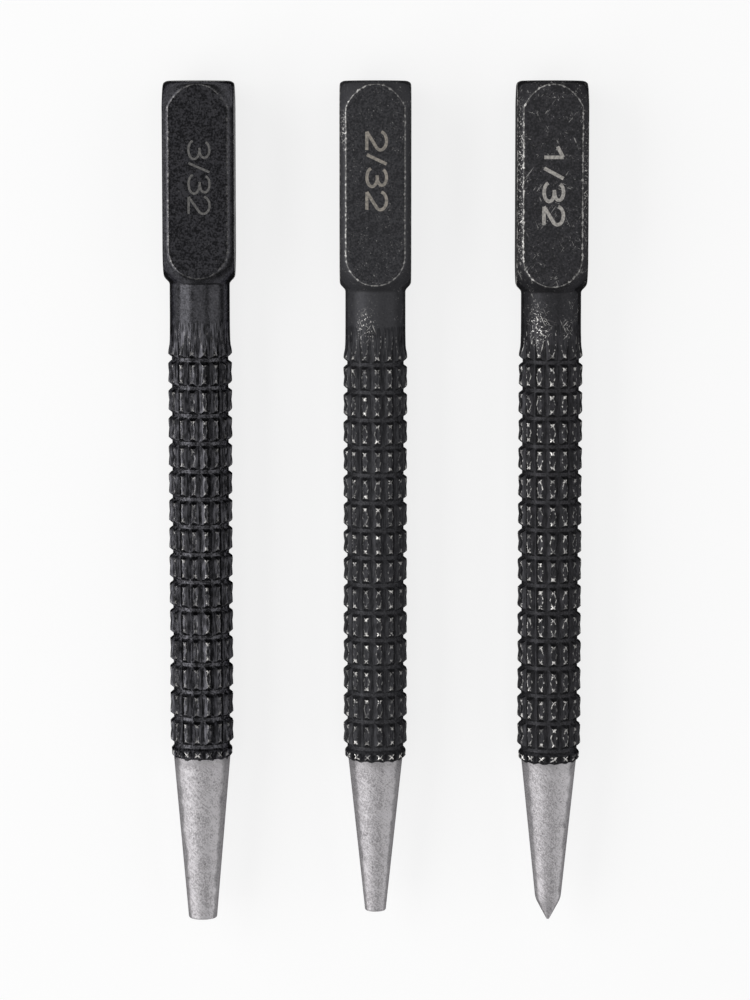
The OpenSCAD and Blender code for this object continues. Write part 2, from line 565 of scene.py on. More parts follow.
class OxideGraph:
    """Writes the nodes of one shank's black oxide."""

    # Noises, how much finer scratches and streaks are along x, y and z, and the scratches' angles
    MOTTLE = Grain(1.3, 5.0, 0.0, 0.3)
    SPECKS = Grain(6.0, 2.0, 5.0)
    PATCHES = Grain(0.95, 3.0, 9.0)
    BREAKS = Grain(2.6, 3.0, 13.0)
    RIDGE_GRAIN = Grain(3.6, 2.0, 17.0)
    SPECKLE = Grain(4.6, 5.0, 19.0)
    STREAKS = Grain(1.0, 2.0, 21.0)
    STREAK_FINE = (6.5, 0.7, 6.5)
    SCRATCHES = Grain(1.0, 1.0, 0.0, 0.4)
    SCRATCH_FINE = (7.0, 0.5, 2.0)
    SCRATCH_TURNS = (24.0, -38.0, 71.0)

    # Where the flats of the head, the grip and the pads lie
    ON_FLAT = Ramp(0.0, 0.12)
    OFF_GRIP = Ramp(2.0, 4.0)
    OFF_PAD = Ramp(1.15, 1.35)

    # Tone and relief of the oxide
    FINE_SHARE = 0.75
    TONE = Ramp(0.41, 0.6)
    SATIN = Ramp(0.3, 0.7)
    SHADE_BREAKS = Ramp(0.3, 0.6, 1.0, 0.7)
    RELIEF_SHARE = 0.6

    # Wear in scratches and specks
    SCRATCH_CUT = Ramp(0.65, 0.73)
    SCORED = Ramp(0.5, 0.62)
    SPECK_CUT = Ramp(0.62, 0.74)
    FLECKED = Ramp(0.46, 0.62)
    SPECKLE_CUT = Ramp(0.6, 0.66)

    # Wear along the edges of the head's flats
    EDGE_LINE = Ramp(0.01, 0.09, 1.0, 0.0)
    EDGE_WIDTH = Ramp(0.5, 0.75, 0.0, 0.12)
    EDGE_BREAKS = Ramp(0.42, 0.6, 0.2, 1.0)
    # Painted shade: the worn edge line is dimmed towards +X
    EDGE_SIDE_SHADE = Ramp(-3.0, 3.0, 1.0, 0.6)

    # Wear on the knurl: on the crossed ridges at the ends of a pad, and along its sides
    RIDGE_LINE = Ramp(-0.04, 0.03, 1.0, 0.0)
    RIDGE_WIDTH = Ramp(0.34, 0.66, 0.0, 0.17)
    CROSSING_START = Ramp(0.6, 0.8)
    CROSSING_END = Ramp(1.02, 1.15, 1.0, 0.0)
    CROSSING_PATCHES = Ramp(0.4, 0.6, 0.12, 1.0)
    SIDE_LINE = Ramp(0.03, 0.1, 1.0, 0.0)
    SIDE_END = Ramp(0.9, 1.0, 1.0, 0.0)
    SIDE_BREAKS = Ramp(0.5, 0.62)
    # Painted shade: the knurl's wear is dimmed towards +X and at the far -X rim
    RIGHT_SHADED = Ramp(0.6, 3.2, 1.0, 0.4)
    LEFT_RIM_SHADED = Ramp(-3.6, -2.9, 0.5, 1.0)

    def __init__(self, finish: BlackOxide, graph: Graph, lie: Lie) -> None:
        """Reads what several parts of the finish share.

        Args:
            finish: The finish.
            graph: Writer of the material's tree.
            lie: Where the setter lies.
        """
        self.finish, self.graph, self.lie = finish, graph, lie
        self.place = graph.place(lie)
        self.across = graph.across(self.place)
        self.mottle = graph.noise(self.place, self.MOTTLE, finish.seed)
        self.patches = graph.noise(self.place, self.PATCHES, finish.seed)
        self.breaks = graph.noise(self.place, self.BREAKS, finish.seed)
        self.speckle = graph.noise(self.place, self.SPECKLE, finish.seed)
        self.edge_gap = graph.field(Field.EDGE_GAP)
        self.ridge_gap = graph.field(Field.RIDGE_GAP)
        self.pad_along = graph.field(Field.PAD_ALONG)
        self.off_grip = graph.step(self.ridge_gap, self.OFF_GRIP)

    def scratches(self) -> Socket:
        """Mask of fine scratches in a few directions.

        Returns:
            The mask.
        """
        masks = []
        for number, turn in enumerate(self.SCRATCH_TURNS):
            place = self.graph.place(self.lie, self.SCRATCH_FINE, turn)
            noise = self.graph.noise(place, self.SCRATCHES, self.finish.seed + number)
            masks.append(self.graph.step(noise, self.SCRATCH_CUT))
        return self.graph.most(*masks)

    def edge_line(self) -> Socket:
        """Mask of the broken bright line along the edges of the head's flats.

        Returns:
            The mask.
        """
        graph = self.graph
        gap = graph.math("ABSOLUTE", self.edge_gap)
        gap = graph.math("SUBTRACT", gap, graph.step(self.breaks, self.EDGE_WIDTH))
        share = graph.step(self.breaks, self.EDGE_BREAKS)
        # Painted shade on the worn line, dimmer towards +X
        side = graph.step(self.across, self.EDGE_SIDE_SHADE)
        return graph.times(graph.step(gap, self.EDGE_LINE), share, side, self.finish.edge_wear)

    def ridge_line(self) -> Socket:
        """Mask of the bright crossed ridges near the ends of the knurl's pads, and of their sides.

        Returns:
            The mask.
        """
        graph, along = self.graph, self.pad_along
        width = graph.step(graph.noise(self.place, self.RIDGE_GRAIN, self.finish.seed), self.RIDGE_WIDTH)
        line = graph.step(graph.math("SUBTRACT", self.ridge_gap, width), self.RIDGE_LINE)
        near_end = graph.times(graph.step(along, self.CROSSING_START), graph.step(along, self.CROSSING_END))
        at_ends = graph.times(near_end, line, graph.step(self.patches, self.CROSSING_PATCHES))
        beside = graph.times(graph.step(self.ridge_gap, self.SIDE_LINE), graph.step(along, self.SIDE_END))
        along_sides = graph.times(beside, graph.step(self.breaks, self.SIDE_BREAKS), self.finish.side_wear)
        # Painted shade on the worn marks, dimmer towards +X and at the far -X rim
        side = graph.times(graph.step(self.across, self.RIGHT_SHADED), graph.step(self.across, self.LEFT_RIM_SHADED))
        worn = graph.most(at_ends, along_sides)
        return graph.times(worn, side, graph.field(Field.WEAR), self.finish.pad_wear)

    def scuffed(self, scuff: Scuff) -> Socket:
        """Mask of one scratched patch, before its scratches.

        Args:
            scuff: The patch.

        Returns:
            The mask.
        """
        graph = self.graph
        middle = (scuff.across, -scuff.station, scuff.height)
        offset = graph.call("ShaderNodeVectorMath", {0: self.place, 1: middle}, operation="SUBTRACT")
        reach = (scuff.reach_across, scuff.reach_along, scuff.reach_down)
        scaled = graph.call("ShaderNodeVectorMath", {0: offset, 1: reach}, operation="DIVIDE")
        distance = graph.call("ShaderNodeVectorMath", {0: scaled}, "Value", operation="LENGTH")
        return graph.step(distance, Ramp(scuff.full_share, 1.0, scuff.strength, 0.0))

    def wear(self) -> Socket:
        """Mask of every place that is worn through to the metal.

        Returns:
            The mask.
        """
        finish, graph = self.finish, self.graph
        scratches = self.scratches()
        specks = graph.step(graph.noise(self.place, self.SPECKS, finish.seed), self.SPECK_CUT)
        flecks = graph.times(specks, graph.step(self.mottle, self.FLECKED), finish.fleck_wear, self.off_grip)
        scored = graph.times(scratches, graph.step(self.mottle, self.SCORED), self.off_grip)
        scored = graph.times(scored, finish.scratch_wear)
        worn = graph.most(self.edge_line(), self.ridge_line(), flecks, scored)
        marks = graph.most(scratches, specks, graph.step(self.speckle, self.SPECKLE_CUT))
        for scuff in finish.scuffs:
            worn = graph.most(worn, graph.times(self.scuffed(scuff), marks))
        return worn

    def oxide(self, even: Socket, fine: Socket) -> Socket:
        """Colour of the oxide, with painted shade in the knurl and on the flats.

        Args:
            even: Mask of the places that are evenly blackened.
            fine: Fine pattern of the oxide.

        Returns:
            The colour.
        """
        finish, graph = self.finish, self.graph
        tone = graph.blend(self.FINE_SHARE, self.mottle, fine)
        tone = graph.blend(even, tone, finish.even_tone)
        oxide = graph.tint(graph.step(tone, self.TONE), finish.dark, finish.light)
        # Painted shade: the flutes and the walls of the ring grooves are tinted towards near black
        shade = graph.times(graph.field(Field.SHADE), graph.step(self.breaks, self.SHADE_BREAKS))
        # Painted shade: the head's flats are tinted towards near black
        flat_shade = graph.times(graph.step(self.edge_gap, self.ON_FLAT), finish.painted_flat_shade)
        return graph.tint(graph.most(shade, flat_shade), oxide, finish.painted_shade)

    def dress(self, shader: bpy.types.Node) -> None:
        """Feeds the shader of the finish.

        Args:
            shader: The shader.
        """
        finish, graph = self.finish, self.graph
        streak_place = graph.place(self.lie, self.STREAK_FINE)
        streaks = graph.noise(streak_place, self.STREAKS, finish.seed)
        off_pad = graph.most(self.off_grip, graph.step(self.pad_along, self.OFF_PAD))
        fine = graph.blend(off_pad, streaks, self.speckle)
        off_flat = replace(self.ON_FLAT, before=finish.evenness, after=0.0)
        even = graph.times(self.off_grip, graph.step(self.edge_gap, off_flat))
        worn = self.wear()
        graph.feed(shader.inputs["Base Color"], graph.tint(worn, self.oxide(even, fine), finish.worn))
        graph.feed(shader.inputs["Metallic"], graph.blend(worn, finish.metallic, 1.0))
        least, most = finish.roughness - finish.roughness_spread, finish.roughness + finish.roughness_spread
        satin = graph.step(self.mottle, replace(self.SATIN, before=least, after=most))
        graph.feed(shader.inputs["Roughness"], graph.blend(worn, satin, finish.worn_roughness))
        coarse = graph.times(self.mottle, self.RELIEF_SHARE)
        height = graph.math("ADD", coarse, graph.times(fine, self.RELIEF_SHARE))
        graph.bump(shader, height, finish.bump, graph.blend(even, 1.0, finish.even_bump))


@dataclass(frozen=True)
class GroundSteel:
    """Bare steel, ground across the taper, with remains of oxide where the grinding begins."""

    name: str
    seed: float
    ragged: float
    light: Triple = (0.68, 0.66, 0.678)
    dark: Triple = (0.46, 0.442, 0.456)
    oxide: Triple = (0.05, 0.05, 0.052)
    edge_tint: Triple = (0.05, 0.05, 0.05)
    # Share of painted shade on the taper's flanks, where the surface faces sideways
    flank_painted_shade: float = 0.45
    smudge: float = 0.3
    pit_depth: float = 0.6
    pit_grime: float = 0.35
    oxide_metallic: float = 0.5
    bump: float = 0.03

    def material(self, lie: Lie) -> bpy.types.Material:
        """Makes the finish for one taper.

        Args:
            lie: Where the setter lies.

        Returns:
            The material.
        """
        material, graph, shader = principled(self.name, {"Specular Tint": self.edge_tint})
        SteelGraph(self, graph, lie).dress(shader)
        return material


class SteelGraph:
    """Writes the nodes of one taper's ground steel."""

    # Noises, and how the marks of the grinding are stretched and turned
    CLOUDS = Grain(0.7, 3.0, 0.0, 0.4)
    GRAIN = Grain(5.6, 4.0, 3.0)
    GRAIN_FINE = (1.2, 0.9, 1.2)
    SLANTED = Grain(1.0, 2.0, 5.0)
    SLANTED_FINE = (0.9, 8.0, 0.9)
    SLANTED_TURN = -40.0
    PITS = Grain(4.2, 2.0, 7.0)
    WANDER = Grain(1.3, 3.0, 11.0)

    # Tone of the steel
    PIT_CUT = Ramp(0.62, 0.68)
    SLANTED_PATCHES = Ramp(0.42, 0.6, 0.1, 0.55)
    MARK_SHARE = 0.8
    # Painted light: the steel's tone is raised towards +X
    RIGHT_PAINTED_LIGHT = Ramp(0.2, 1.8, 0.0, 0.05)
    TONE = Ramp(0.42, 0.57)
    ROUGHNESS = Ramp(0.35, 0.65, 0.7, 0.56)

    # Painted shade on the flanks, and remains of oxide below the grip
    NOISE_MIDDLE = 0.5
    FLANK_WANDER = 0.4
    FLANK = Ramp(0.56, 0.73)
    BLACK_FRONT = Ramp(-0.05, 0.05, 1.0, 0.0)
    SMUDGE_FRONT = Ramp(-0.2, 1.6)
    SMUDGE_GRAIN = Ramp(0.35, 0.6)

    def __init__(self, finish: GroundSteel, graph: Graph, lie: Lie) -> None:
        """Reads what several parts of the finish share.

        Args:
            finish: The finish.
            graph: Writer of the material's tree.
            lie: Where the setter lies.
        """
        self.finish, self.graph = finish, graph
        self.place = graph.place(lie)
        self.clouds = graph.noise(self.place, self.CLOUDS, finish.seed)
        self.grain = graph.noise(graph.place(lie, self.GRAIN_FINE), self.GRAIN, finish.seed)
        slanted_place = graph.place(lie, self.SLANTED_FINE, self.SLANTED_TURN)
        slanted = graph.noise(slanted_place, self.SLANTED, finish.seed)
        self.marks = graph.blend(graph.step(self.clouds, self.SLANTED_PATCHES), self.grain, slanted)
        self.pits = graph.step(graph.noise(self.place, self.PITS, finish.seed), self.PIT_CUT)
        # Painted light: the steel is lighter towards +X
        right = graph.step(graph.across(self.place), self.RIGHT_PAINTED_LIGHT)
        self.tone = graph.math("ADD", graph.blend(self.MARK_SHARE, self.clouds, self.marks), right)

    def steel(self) -> Socket:
        """Colour of the steel, with its pits, and with painted shade on its flanks.

        Returns:
            The colour.
        """
        finish, graph = self.finish, self.graph
        steel = graph.tint(graph.step(self.tone, self.TONE), finish.dark, finish.light)
        steel = graph.tint(graph.times(self.pits, finish.pit_grime), steel, finish.oxide)
        # Painted shade: the flanks, where the surface faces sideways, are tinted towards the oxide's colour
        uneven = graph.math("SUBTRACT", self.clouds, self.NOISE_MIDDLE)
        facing = graph.math("MULTIPLY_ADD", uneven, self.FLANK_WANDER, graph.field(Field.FACING))
        flank = graph.step(facing, replace(self.FLANK, before=finish.flank_painted_shade, after=0.0))
        return graph.tint(flank, steel, finish.oxide)

    def front(self) -> Socket:
        """Distance below the ragged line where the grinding begins.

        Returns:
            The distance.
        """
        finish, graph = self.finish, self.graph
        wander = graph.math("SUBTRACT", graph.noise(self.place, self.WANDER, finish.seed), self.NOISE_MIDDLE)
        front = graph.math("ADD", graph.field(Field.BELOW_GRIP), graph.times(wander, finish.ragged))
        return graph.math("SUBTRACT", front, graph.field(Field.SCALLOP))

    def dress(self, shader: bpy.types.Node) -> None:
        """Feeds the shader of the finish.

        Args:
            shader: The shader.
        """
        finish, graph = self.finish, self.graph
        front = self.front()
        black = graph.step(front, self.BLACK_FRONT)
        smudge = graph.step(front, replace(self.SMUDGE_FRONT, before=finish.smudge, after=0.0))
        smudge = graph.times(smudge, graph.step(self.grain, self.SMUDGE_GRAIN))
        remains = graph.most(black, smudge)
        graph.feed(shader.inputs["Base Color"], graph.tint(remains, self.steel(), finish.oxide))
        graph.feed(shader.inputs["Metallic"], graph.blend(black, 1.0, finish.oxide_metallic))
        graph.feed(shader.inputs["Roughness"], graph.step(self.tone, self.ROUGHNESS))
        height = graph.math("SUBTRACT", self.marks, graph.times(self.pits, finish.pit_depth))
        graph.bump(shader, height, finish.bump)


@dataclass(frozen=True)
class EtchedMark:
    """Dull tan grey of numerals etched through the oxide."""

    PATCHY = Grain(3.5, 4.0)
    TONE = Ramp(0.4, 0.6)
    ROUGHNESS = Ramp(0.3, 0.7, 0.5, 0.65)
    name: str
    seed: float
    light: Triple
    dark: Triple
    metallic: float = 0.2

    def material(self, lie: Lie) -> bpy.types.Material:
        """Makes the finish for one size mark.

        Args:
            lie: Where the setter lies.

        Returns:
            The material.
        """
        material, graph, shader = principled(self.name, {"Metallic": self.metallic})
        patchy = graph.noise(graph.place(lie), self.PATCHY, self.seed)
        colour = graph.tint(graph.step(patchy, self.TONE), self.dark, self.light)
        graph.feed(shader.inputs["Base Color"], colour)
        graph.feed(shader.inputs["Roughness"], graph.step(patchy, self.ROUGHNESS))
        return material


@dataclass(frozen=True)
class FloorPaint:
    """Matt white paper that the camera and the metal see as white, with a soft shadow left on it."""

    name: str = "white_paper"
    colour: Triple = (0.25, 0.25, 0.25)
    roughness: float = 0.9
    glow_colour: Triple = (1.0, 1.0, 1.0)
    glow: float = 0.78

    def material(self) -> bpy.types.Material:
        """Makes the finish of the floor.

        Returns:
            The material.
        """
        plain = {"Base Color": self.colour, "Roughness": self.roughness, "Specular IOR Level": 0.0}
        material, graph, shader = principled(self.name, plain | {"Emission Color": self.glow_colour})
        path = graph.add("ShaderNodeLightPath").outputs
        seen = graph.most(path["Is Camera Ray"], path["Is Glossy Ray"], path["Is Transmission Ray"])
        graph.feed(shader.inputs["Emission Strength"], graph.times(seen, self.glow))
        return material


@dataclass(frozen=True)
class Grip:
    """Grid knurl rolled into a bar: ring grooves and flutes, with a raised dished pad in each cell."""

    # Distances of a tile's rows from the middle of its ring groove
    NEAR_ROWS = (0.0, 0.2, 0.4, 0.58, 0.8, 1.15)
    RUN_OUT_ROWS = (2.15, 2.7, 3.3, 3.9)
    LAST_ROWS = (0.0, 0.2, 0.4, 0.56, 0.78, 1.0, 1.22, 1.4)

    # Outline of a ring groove: gaps, rise from its floor, and fall from its lip
    GROOVE_GAPS = (0.2, 0.28, 0.4, 0.5, 0.58, 0.75, 1.15)
    GROOVE_RISE = (0.0, 0.08, 0.27, 0.4)
    LIP_FALL = (0.02, 0.0, 0.04)

    # Shares of crown and of painted shade on the lines of a tile, from its middle to its side
    CROWN_ACROSS = (1.0, 1.0, 0.5, 0.0, 0.0)
    SHADE_ACROSS = (0.0, 0.0, 0.2, 0.9, 1.0)

    # Pads: dish, crown and flutes by the gap from the ring groove, and painted shade on the groove's walls
    DISHED = Ramp(0.8, 1.3)
    CROWNED = Ramp(0.3, 0.86)
    FLUTED = Ramp(0.3, 0.7)
    LEAST_FLANK = 0.1
    NOTCH_RIDGE = 0.35
    WALL_GAPS = (0.2, 0.4, 0.58, 0.8)
    WALL_SHADE = (0.3, 0.65)
    UPPER_WALL = 0.8

    # Run-out of the flutes into the neck
    BODY_RADII = (3.85, 3.79, 3.68, 3.64, 3.625, 3.612)
    BODY_START = 0.7
    FLUTE_FADE = Ramp(4.3, 1.2)
    FLUTE_NARROWING = (0.4, 0.6)
    SPREAD_END = 2.7
    SPREAD_MARGIN = 0.3
    SINK = 0.07
    SINK_START = Ramp(0.8, 1.4)
    SINK_FADE = Ramp(4.0, 1.6)
    EVEN_START = 3.3
    CROWN_FADE = Ramp(3.4, 2.4)

    # Last band: crest, pockets of the flutes and crossed ridges by the gap from the ring groove
    CREST_GAPS = (0.2, 0.4, 0.56, 1.22, 1.4)
    CREST_RISE = 0.17
    CREST_ROUND = 0.04
    BAND_START = 0.2
    BAND_MIDDLE = 1.0
    POCKET_HALF = 0.5
    POCKET_EDGE = (0.06, 0.14)
    CROSS_NARROW = 0.05
    CROSS_WIDE = 0.46
    CROSS_SLOPE = 0.95
    CROSS_REACH = 0.85
    BAND_SINK = 0.06
    BAND_SINK_RIDGE = 0.2
    BAND_RISE = Ramp(0.3, 0.6)
    BAND_FALL = Ramp(1.5, 1.25)
    BAND_EVEN = 1.3
    BAND_WEAR = 1.2

    # Radius of the end cap's inner ring of points, as a share of the cap's own
    CAP_SHARE = 0.6

    first_ring: float
    pitch: float
    flutes: int
    flute_angle: float
    twist: float
    ridge_reach: float
    half_floor: float
    flute_shade: float
    root_d: float
    seed: int
    rings: int = 15
    lead_in: float = 4.8
    taper_offset: float = 1.55
    neck_d: float = 7.2
    lip_d: float = 7.72
    ring_floor_d: float = 6.78
    flute_floor_d: float = 6.92
    pocket_floor_d: float = 6.84
    middle_d: float = 7.5
    last_crest_d: float = 7.37
    crossing_gap: float = 0.8
    crossing_half: float = 0.06
    spread: float = 0.9
    dish: float = 0.09
    notch: float = 0.17
    flank_share: float = 0.45
    unevenness: float = 0.02
    lines_across: int = 8

    @property
    def columns(self) -> int:
        """Number of points round the bar."""
        return self.flutes * self.lines_across

    @property
    def last_ring(self) -> float:
        """Station of the last ring groove."""
        return self.first_ring + (self.rings - 1) * self.pitch

    @property
    def end(self) -> float:
        """Station at which the ground taper starts."""
        return self.last_ring + self.taper_offset

    @property
    def cell(self) -> float:
        """Width of a cell of the knurl, on the circle over the lips."""
        return math.pi * self.lip_d / self.flutes

    @property
    def twist_rate(self) -> float:
        """Twist of the flutes, in radians for each millimetre."""
        return math.radians(self.twist) / (self.last_ring - self.first_ring)

    def angles(self, station: float, count: int) -> np.ndarray:
        """Evenly spaced angles round the bar, in radians, that start at the flute of a station."""
        start = math.radians(self.flute_angle) + self.twist_rate * (station - self.first_ring)
        return start + np.arange(count) * 2 * math.pi / count

    def groove(self, gap: np.ndarray) -> np.ndarray:
        """Radius of the crest of a pad.

        Args:
            gap: Distance from the middle of a ring groove.

        Returns:
            The radius.
        """
        radii = [self.ring_floor_d / 2 + rise for rise in self.GROOVE_RISE]
        radii += [self.lip_d / 2 - fall for fall in self.LIP_FALL]
        return np.interp(gap, [*self.GROOVE_GAPS, self.pitch / 2], [*radii, self.middle_d / 2])

    def ridge(self, reach: np.ndarray) -> np.ndarray:
        """Distance of the two crossed ridges from the middle line of a pad.

        Args:
            reach: Distance along the pad from its middle.

        Returns:
            The distance across the pad.
        """
        crossing = self.pitch / 2 - self.crossing_gap
        inside = self.ridge_reach * np.cos(math.pi / 2 * np.clip(reach / crossing, 0, 1))
        outside = self.spread * (reach - crossing)
        return np.maximum(np.where(reach < crossing, inside, outside), self.crossing_half)

    def gaps(self, band: Band) -> np.ndarray:
        """Distances of a tile's rows from the middle of its ring groove.

        Args:
            band: The stretch of the grip that the tile is for.

        Returns:
            The distances. Those of the pads' tile reach to the middle of a pad.
        """
        if band is Band.LAST:
            return np.array([*self.LAST_ROWS, self.taper_offset])
        if band is Band.PADS:
            return np.array([*self.NEAR_ROWS, self.pitch / 2])
        return np.array([*self.NEAR_ROWS, self.pitch / 2, *self.RUN_OUT_ROWS, self.lead_in])

    def pad_rows(self, gap: np.ndarray) -> Rows:
        """Sizes of half a pad, row by row along the bar.

        Args:
            gap: Distances from the middle of the ring groove.

        Returns:
            The gaps, the places of the ridges and of the edges of the flutes, the radii of the crest, the
            flute's floor and the dished middle, how evenly the lines are spread, and the fields' values.
        """
        reach = np.clip(self.pitch / 2 - gap, 0, None)
        edge = np.full_like(gap, self.cell / 2 - self.half_floor)
        ridge = np.minimum(self.ridge(reach), edge - self.LEAST_FLANK)
        crest = self.groove(gap)
        notch = self.notch * np.clip(ridge / self.NOTCH_RIDGE, 0, 1)
        dished = self.dish * (ridge / self.ridge_reach) ** 2 * self.DISHED.at(gap)
        base, share = self.WALL_SHADE
        dark = base + share * self.flute_shade
        return {
            "gap": gap,
            "reach": reach,
            "ridge": ridge,
            "edge": edge,
            "crest": crest,
            "floor": np.minimum(crest, self.flute_floor_d / 2),
            "valley": np.minimum(self.groove(gap - notch), crest) - dished,
            "even": np.zeros_like(gap),
            "crown": self.CROWNED.at(gap),
            "sides": self.FLUTED.at(gap),
            "wall": np.interp(gap, self.WALL_GAPS, [0, dark, dark * self.UPPER_WALL, 0]),
            "wear": np.ones_like(gap),
        }

    def run_out_rows(self, rows: Rows) -> Rows:
        """Sizes of the run-out of the flutes into the neck, row by row.

        Args:
            rows: Sizes of a pad at the same gaps.

        Returns:
            The sizes.
        """
        gap, half, floor_r = rows["gap"], self.cell / 2, self.flute_floor_d / 2
        in_groove = gap < self.BODY_START
        spreading = Ramp(self.pitch / 2, self.SPREAD_END).at(gap)
        ridge = rows["ridge"] + (half - self.SPREAD_MARGIN - rows["ridge"]) * spreading
        stations = [*self.NEAR_ROWS[-2:], self.pitch / 2, *self.RUN_OUT_ROWS[:3], self.lead_in]
        body = np.interp(gap, stations, [*self.BODY_RADII, self.neck_d / 2])
        crest = np.where(in_groove, rows["crest"], body)
        fade = self.FLUTE_FADE.at(gap)
        least, more = self.FLUTE_NARROWING
        sunk = self.SINK * (ridge / half) ** 2 * self.SINK_FADE.at(gap) * self.SINK_START.at(gap)
        return rows | {
            "ridge": ridge,
            "edge": half - self.half_floor * (least + more * fade),
            "crest": crest,
            "floor": np.where(in_groove, rows["floor"], crest - (crest - floor_r) * fade),
            "valley": np.where(in_groove, rows["valley"], crest - sunk),
            "even": Ramp(self.EVEN_START, self.lead_in).at(gap),
            "crown": rows["crown"] * self.CROWN_FADE.at(gap),
            "sides": rows["sides"] * fade,
            "wall": rows["wall"] * 0,
        }

    def last_rows(self, rows: Rows) -> Rows:
        """Sizes of the narrow band between the last ring groove and the taper, row by row.

        Args:
            rows: Sizes of a pad at the same gaps.

        Returns:
            The sizes.
        """
        gap, half = rows["gap"], self.cell / 2
        top, ring, root = self.last_crest_d / 2, self.ring_floor_d / 2, self.root_d / 2
        radii = [ring, ring + self.CREST_RISE, top, top, (top + root) / 2 + self.CREST_ROUND, root]
        crest = np.interp(gap, [*self.CREST_GAPS, self.taper_offset], radii)
        in_groove = gap < self.BAND_START
        off_middle = gap - self.BAND_MIDDLE
        pocket = np.sqrt(np.clip(1 - (off_middle / self.POCKET_HALF) ** 2, 0, 1))
        cross = np.minimum(self.CROSS_NARROW + self.CROSS_SLOPE * np.abs(off_middle), self.CROSS_WIDE)
        ridge = np.where(in_groove, rows["ridge"], cross)
        margin, more = self.POCKET_EDGE
        pocket_depth = np.clip(crest - self.pocket_floor_d / 2, 0, None)
        sunk = np.clip((ridge - self.CROSS_NARROW) / self.BAND_SINK_RIDGE, 0, 1)
        rising = self.BAND_RISE.at(gap)
        reach = self.CROSS_REACH + self.CROSS_REACH * np.abs(off_middle)
        return rows | {
            "reach": np.where(in_groove, rows["reach"], reach),
            "ridge": ridge,
            "edge": np.where(in_groove, rows["edge"], half - margin - more * pocket),
            "crest": crest,
            "floor": crest - pocket_depth * pocket,
            "valley": crest - self.BAND_SINK * rising * self.BAND_FALL.at(gap) * sunk,
            "even": Ramp(self.BAND_EVEN, self.taper_offset).at(gap),
            "crown": np.zeros_like(gap),
            "sides": pocket / self.flute_shade,
            "wear": 1 + self.BAND_WEAR * rising,
        }

    def rows(self, band: Band) -> tuple[np.ndarray, Rows]:
        """Sizes of one whole tile, row by row along the bar.

        Args:
            band: The stretch of the grip that the tile is for.

        Returns:
            The places of the rows along the tile, and their sizes.
        """
        rows = self.pad_rows(self.gaps(band))
        if band is Band.PADS:
            along = rows["gap"] - self.pitch / 2
            facing_tip = rows | {"wall": rows["wall"] * 0}
            whole = {name: np.append(values, facing_tip[name][-2::-1]) for name, values in rows.items()}
            return np.concatenate([along, -along[-2::-1]]), whole
        if band is Band.RUN_OUT:
            rows = {name: values[::-1] for name, values in self.run_out_rows(rows).items()}
            return -rows["gap"], rows
        return rows["gap"], self.last_rows(rows)

    def tile(self, band: Band) -> Surface:
        """Flat tile of one cell: across, along and out from the bar's axis.

        Args:
            band: The stretch of the grip that the tile is for.

        Returns:
            The tile, whose lines of points follow the ridges and the edges of the flutes.
        """
        along, rows = self.rows(band)
        ridge, edge, crest, floor = rows["ridge"], rows["edge"], rows["crest"], rows["floor"]
        lines = self.lines_across // 2 + 1
        half = np.full_like(ridge, self.cell / 2)
        flank = floor + (crest - floor) * self.flank_share
        wide = np.stack([ridge * 0, ridge, (ridge + edge) / 2, edge, half], axis=1)
        level = np.linspace(0, self.cell / 2, lines)
        wide = wide + (level - wide) * rows["even"][:, None]
        high = np.stack([rows["valley"], crest, flank, floor, floor], axis=1)
        gaps = np.abs(wide - ridge[:, None])
        gaps[:, 0] = ridge
        sides = rows["sides"][:, None] * np.array(self.SHADE_ACROSS) * self.flute_shade
        across = mirrored(wide, -1)
        count = across.shape[1]
        points = np.stack([across, np.repeat(along[:, None], count, axis=1), mirrored(high)], axis=-1)
        points = points.reshape(-1, 3)
        row, column = np.meshgrid(np.arange(len(across) - 1), np.arange(count - 1), indexing="ij")
        corner = row * count + column
        quads = np.stack([corner, corner + 1, corner + count + 1, corner + count], axis=-1)
        fields = {
            Field.RIDGE_GAP: gaps,
            Field.PAD_ALONG: rows["reach"][:, None] * np.ones(lines),
            Field.CROWN: rows["crown"][:, None] * np.array(self.CROWN_ACROSS),
            Field.SHADE: np.maximum(sides, rows["wall"][:, None]),
            Field.WEAR: rows["wear"][:, None] * np.ones(lines),
        }
        fields = {name: mirrored(values).ravel() for name, values in fields.items()}
        fields[Field.EDGE_GAP] = np.full(len(points), -FAR)
        return Surface(points, [tuple(quad) for quad in quads.reshape(-1, 4).tolist()], fields)

    def end_cap(self) -> Surface:
        """Disc that closes the shank where the taper begins.

        Returns:
            The disc.
        """
        root = self.root_d / 2
        radii = np.array([[root], [root * self.CAP_SHARE]]) * np.ones((1, self.columns))
        angles = np.tile(self.angles(self.end, self.columns), (2, 1))
        disc = Surface.turned(np.array([self.end, self.end]), angles, radii)
        return disc.close(self.end, self.columns, False)

    def roll(
        self, turned_parts: Surface, tree: bpy.types.NodeTree, material: bpy.types.Material
    ) -> bpy.types.Mesh:
        """Rolls the knurl with Geometry Nodes and joins it to the turned parts of the shank.

        Args:
            turned_parts: The head with its neck, and the cap at the other end.
            tree: The tree that rolls a knurl.
            material: Finish of the shank.

        Returns:
            The mesh of the whole shank, in millimetres.
        """
        sources = {band.value: self.tile(band).mesh(band.value) for band in Band}
        sources["Turned parts"] = turned_parts.mesh("turned_parts")
        parts = {name: bpy.data.objects.new(name, mesh) for name, mesh in sources.items()}
        sizes = {
            "Tiles round": self.flutes,
            "Pads along": self.rings - 1,
            "Tile width": self.cell,
            "Pad pitch": self.pitch,
            "First ring": self.first_ring,
            "Bar radius": self.lip_d / 2,
            "First angle": math.radians(self.flute_angle),
            "Twist rate": self.twist_rate,
            "Unevenness": self.unevenness,
            "Seed": self.seed,
            "Material": material,
        }
        mesh = grown(tree, parts | sizes)
        for part in parts.values():
            discard(part)
        for name in (Field.LUCK, Field.CROWN):
            mesh.attributes.remove(mesh.attributes[name.value])
        return mesh


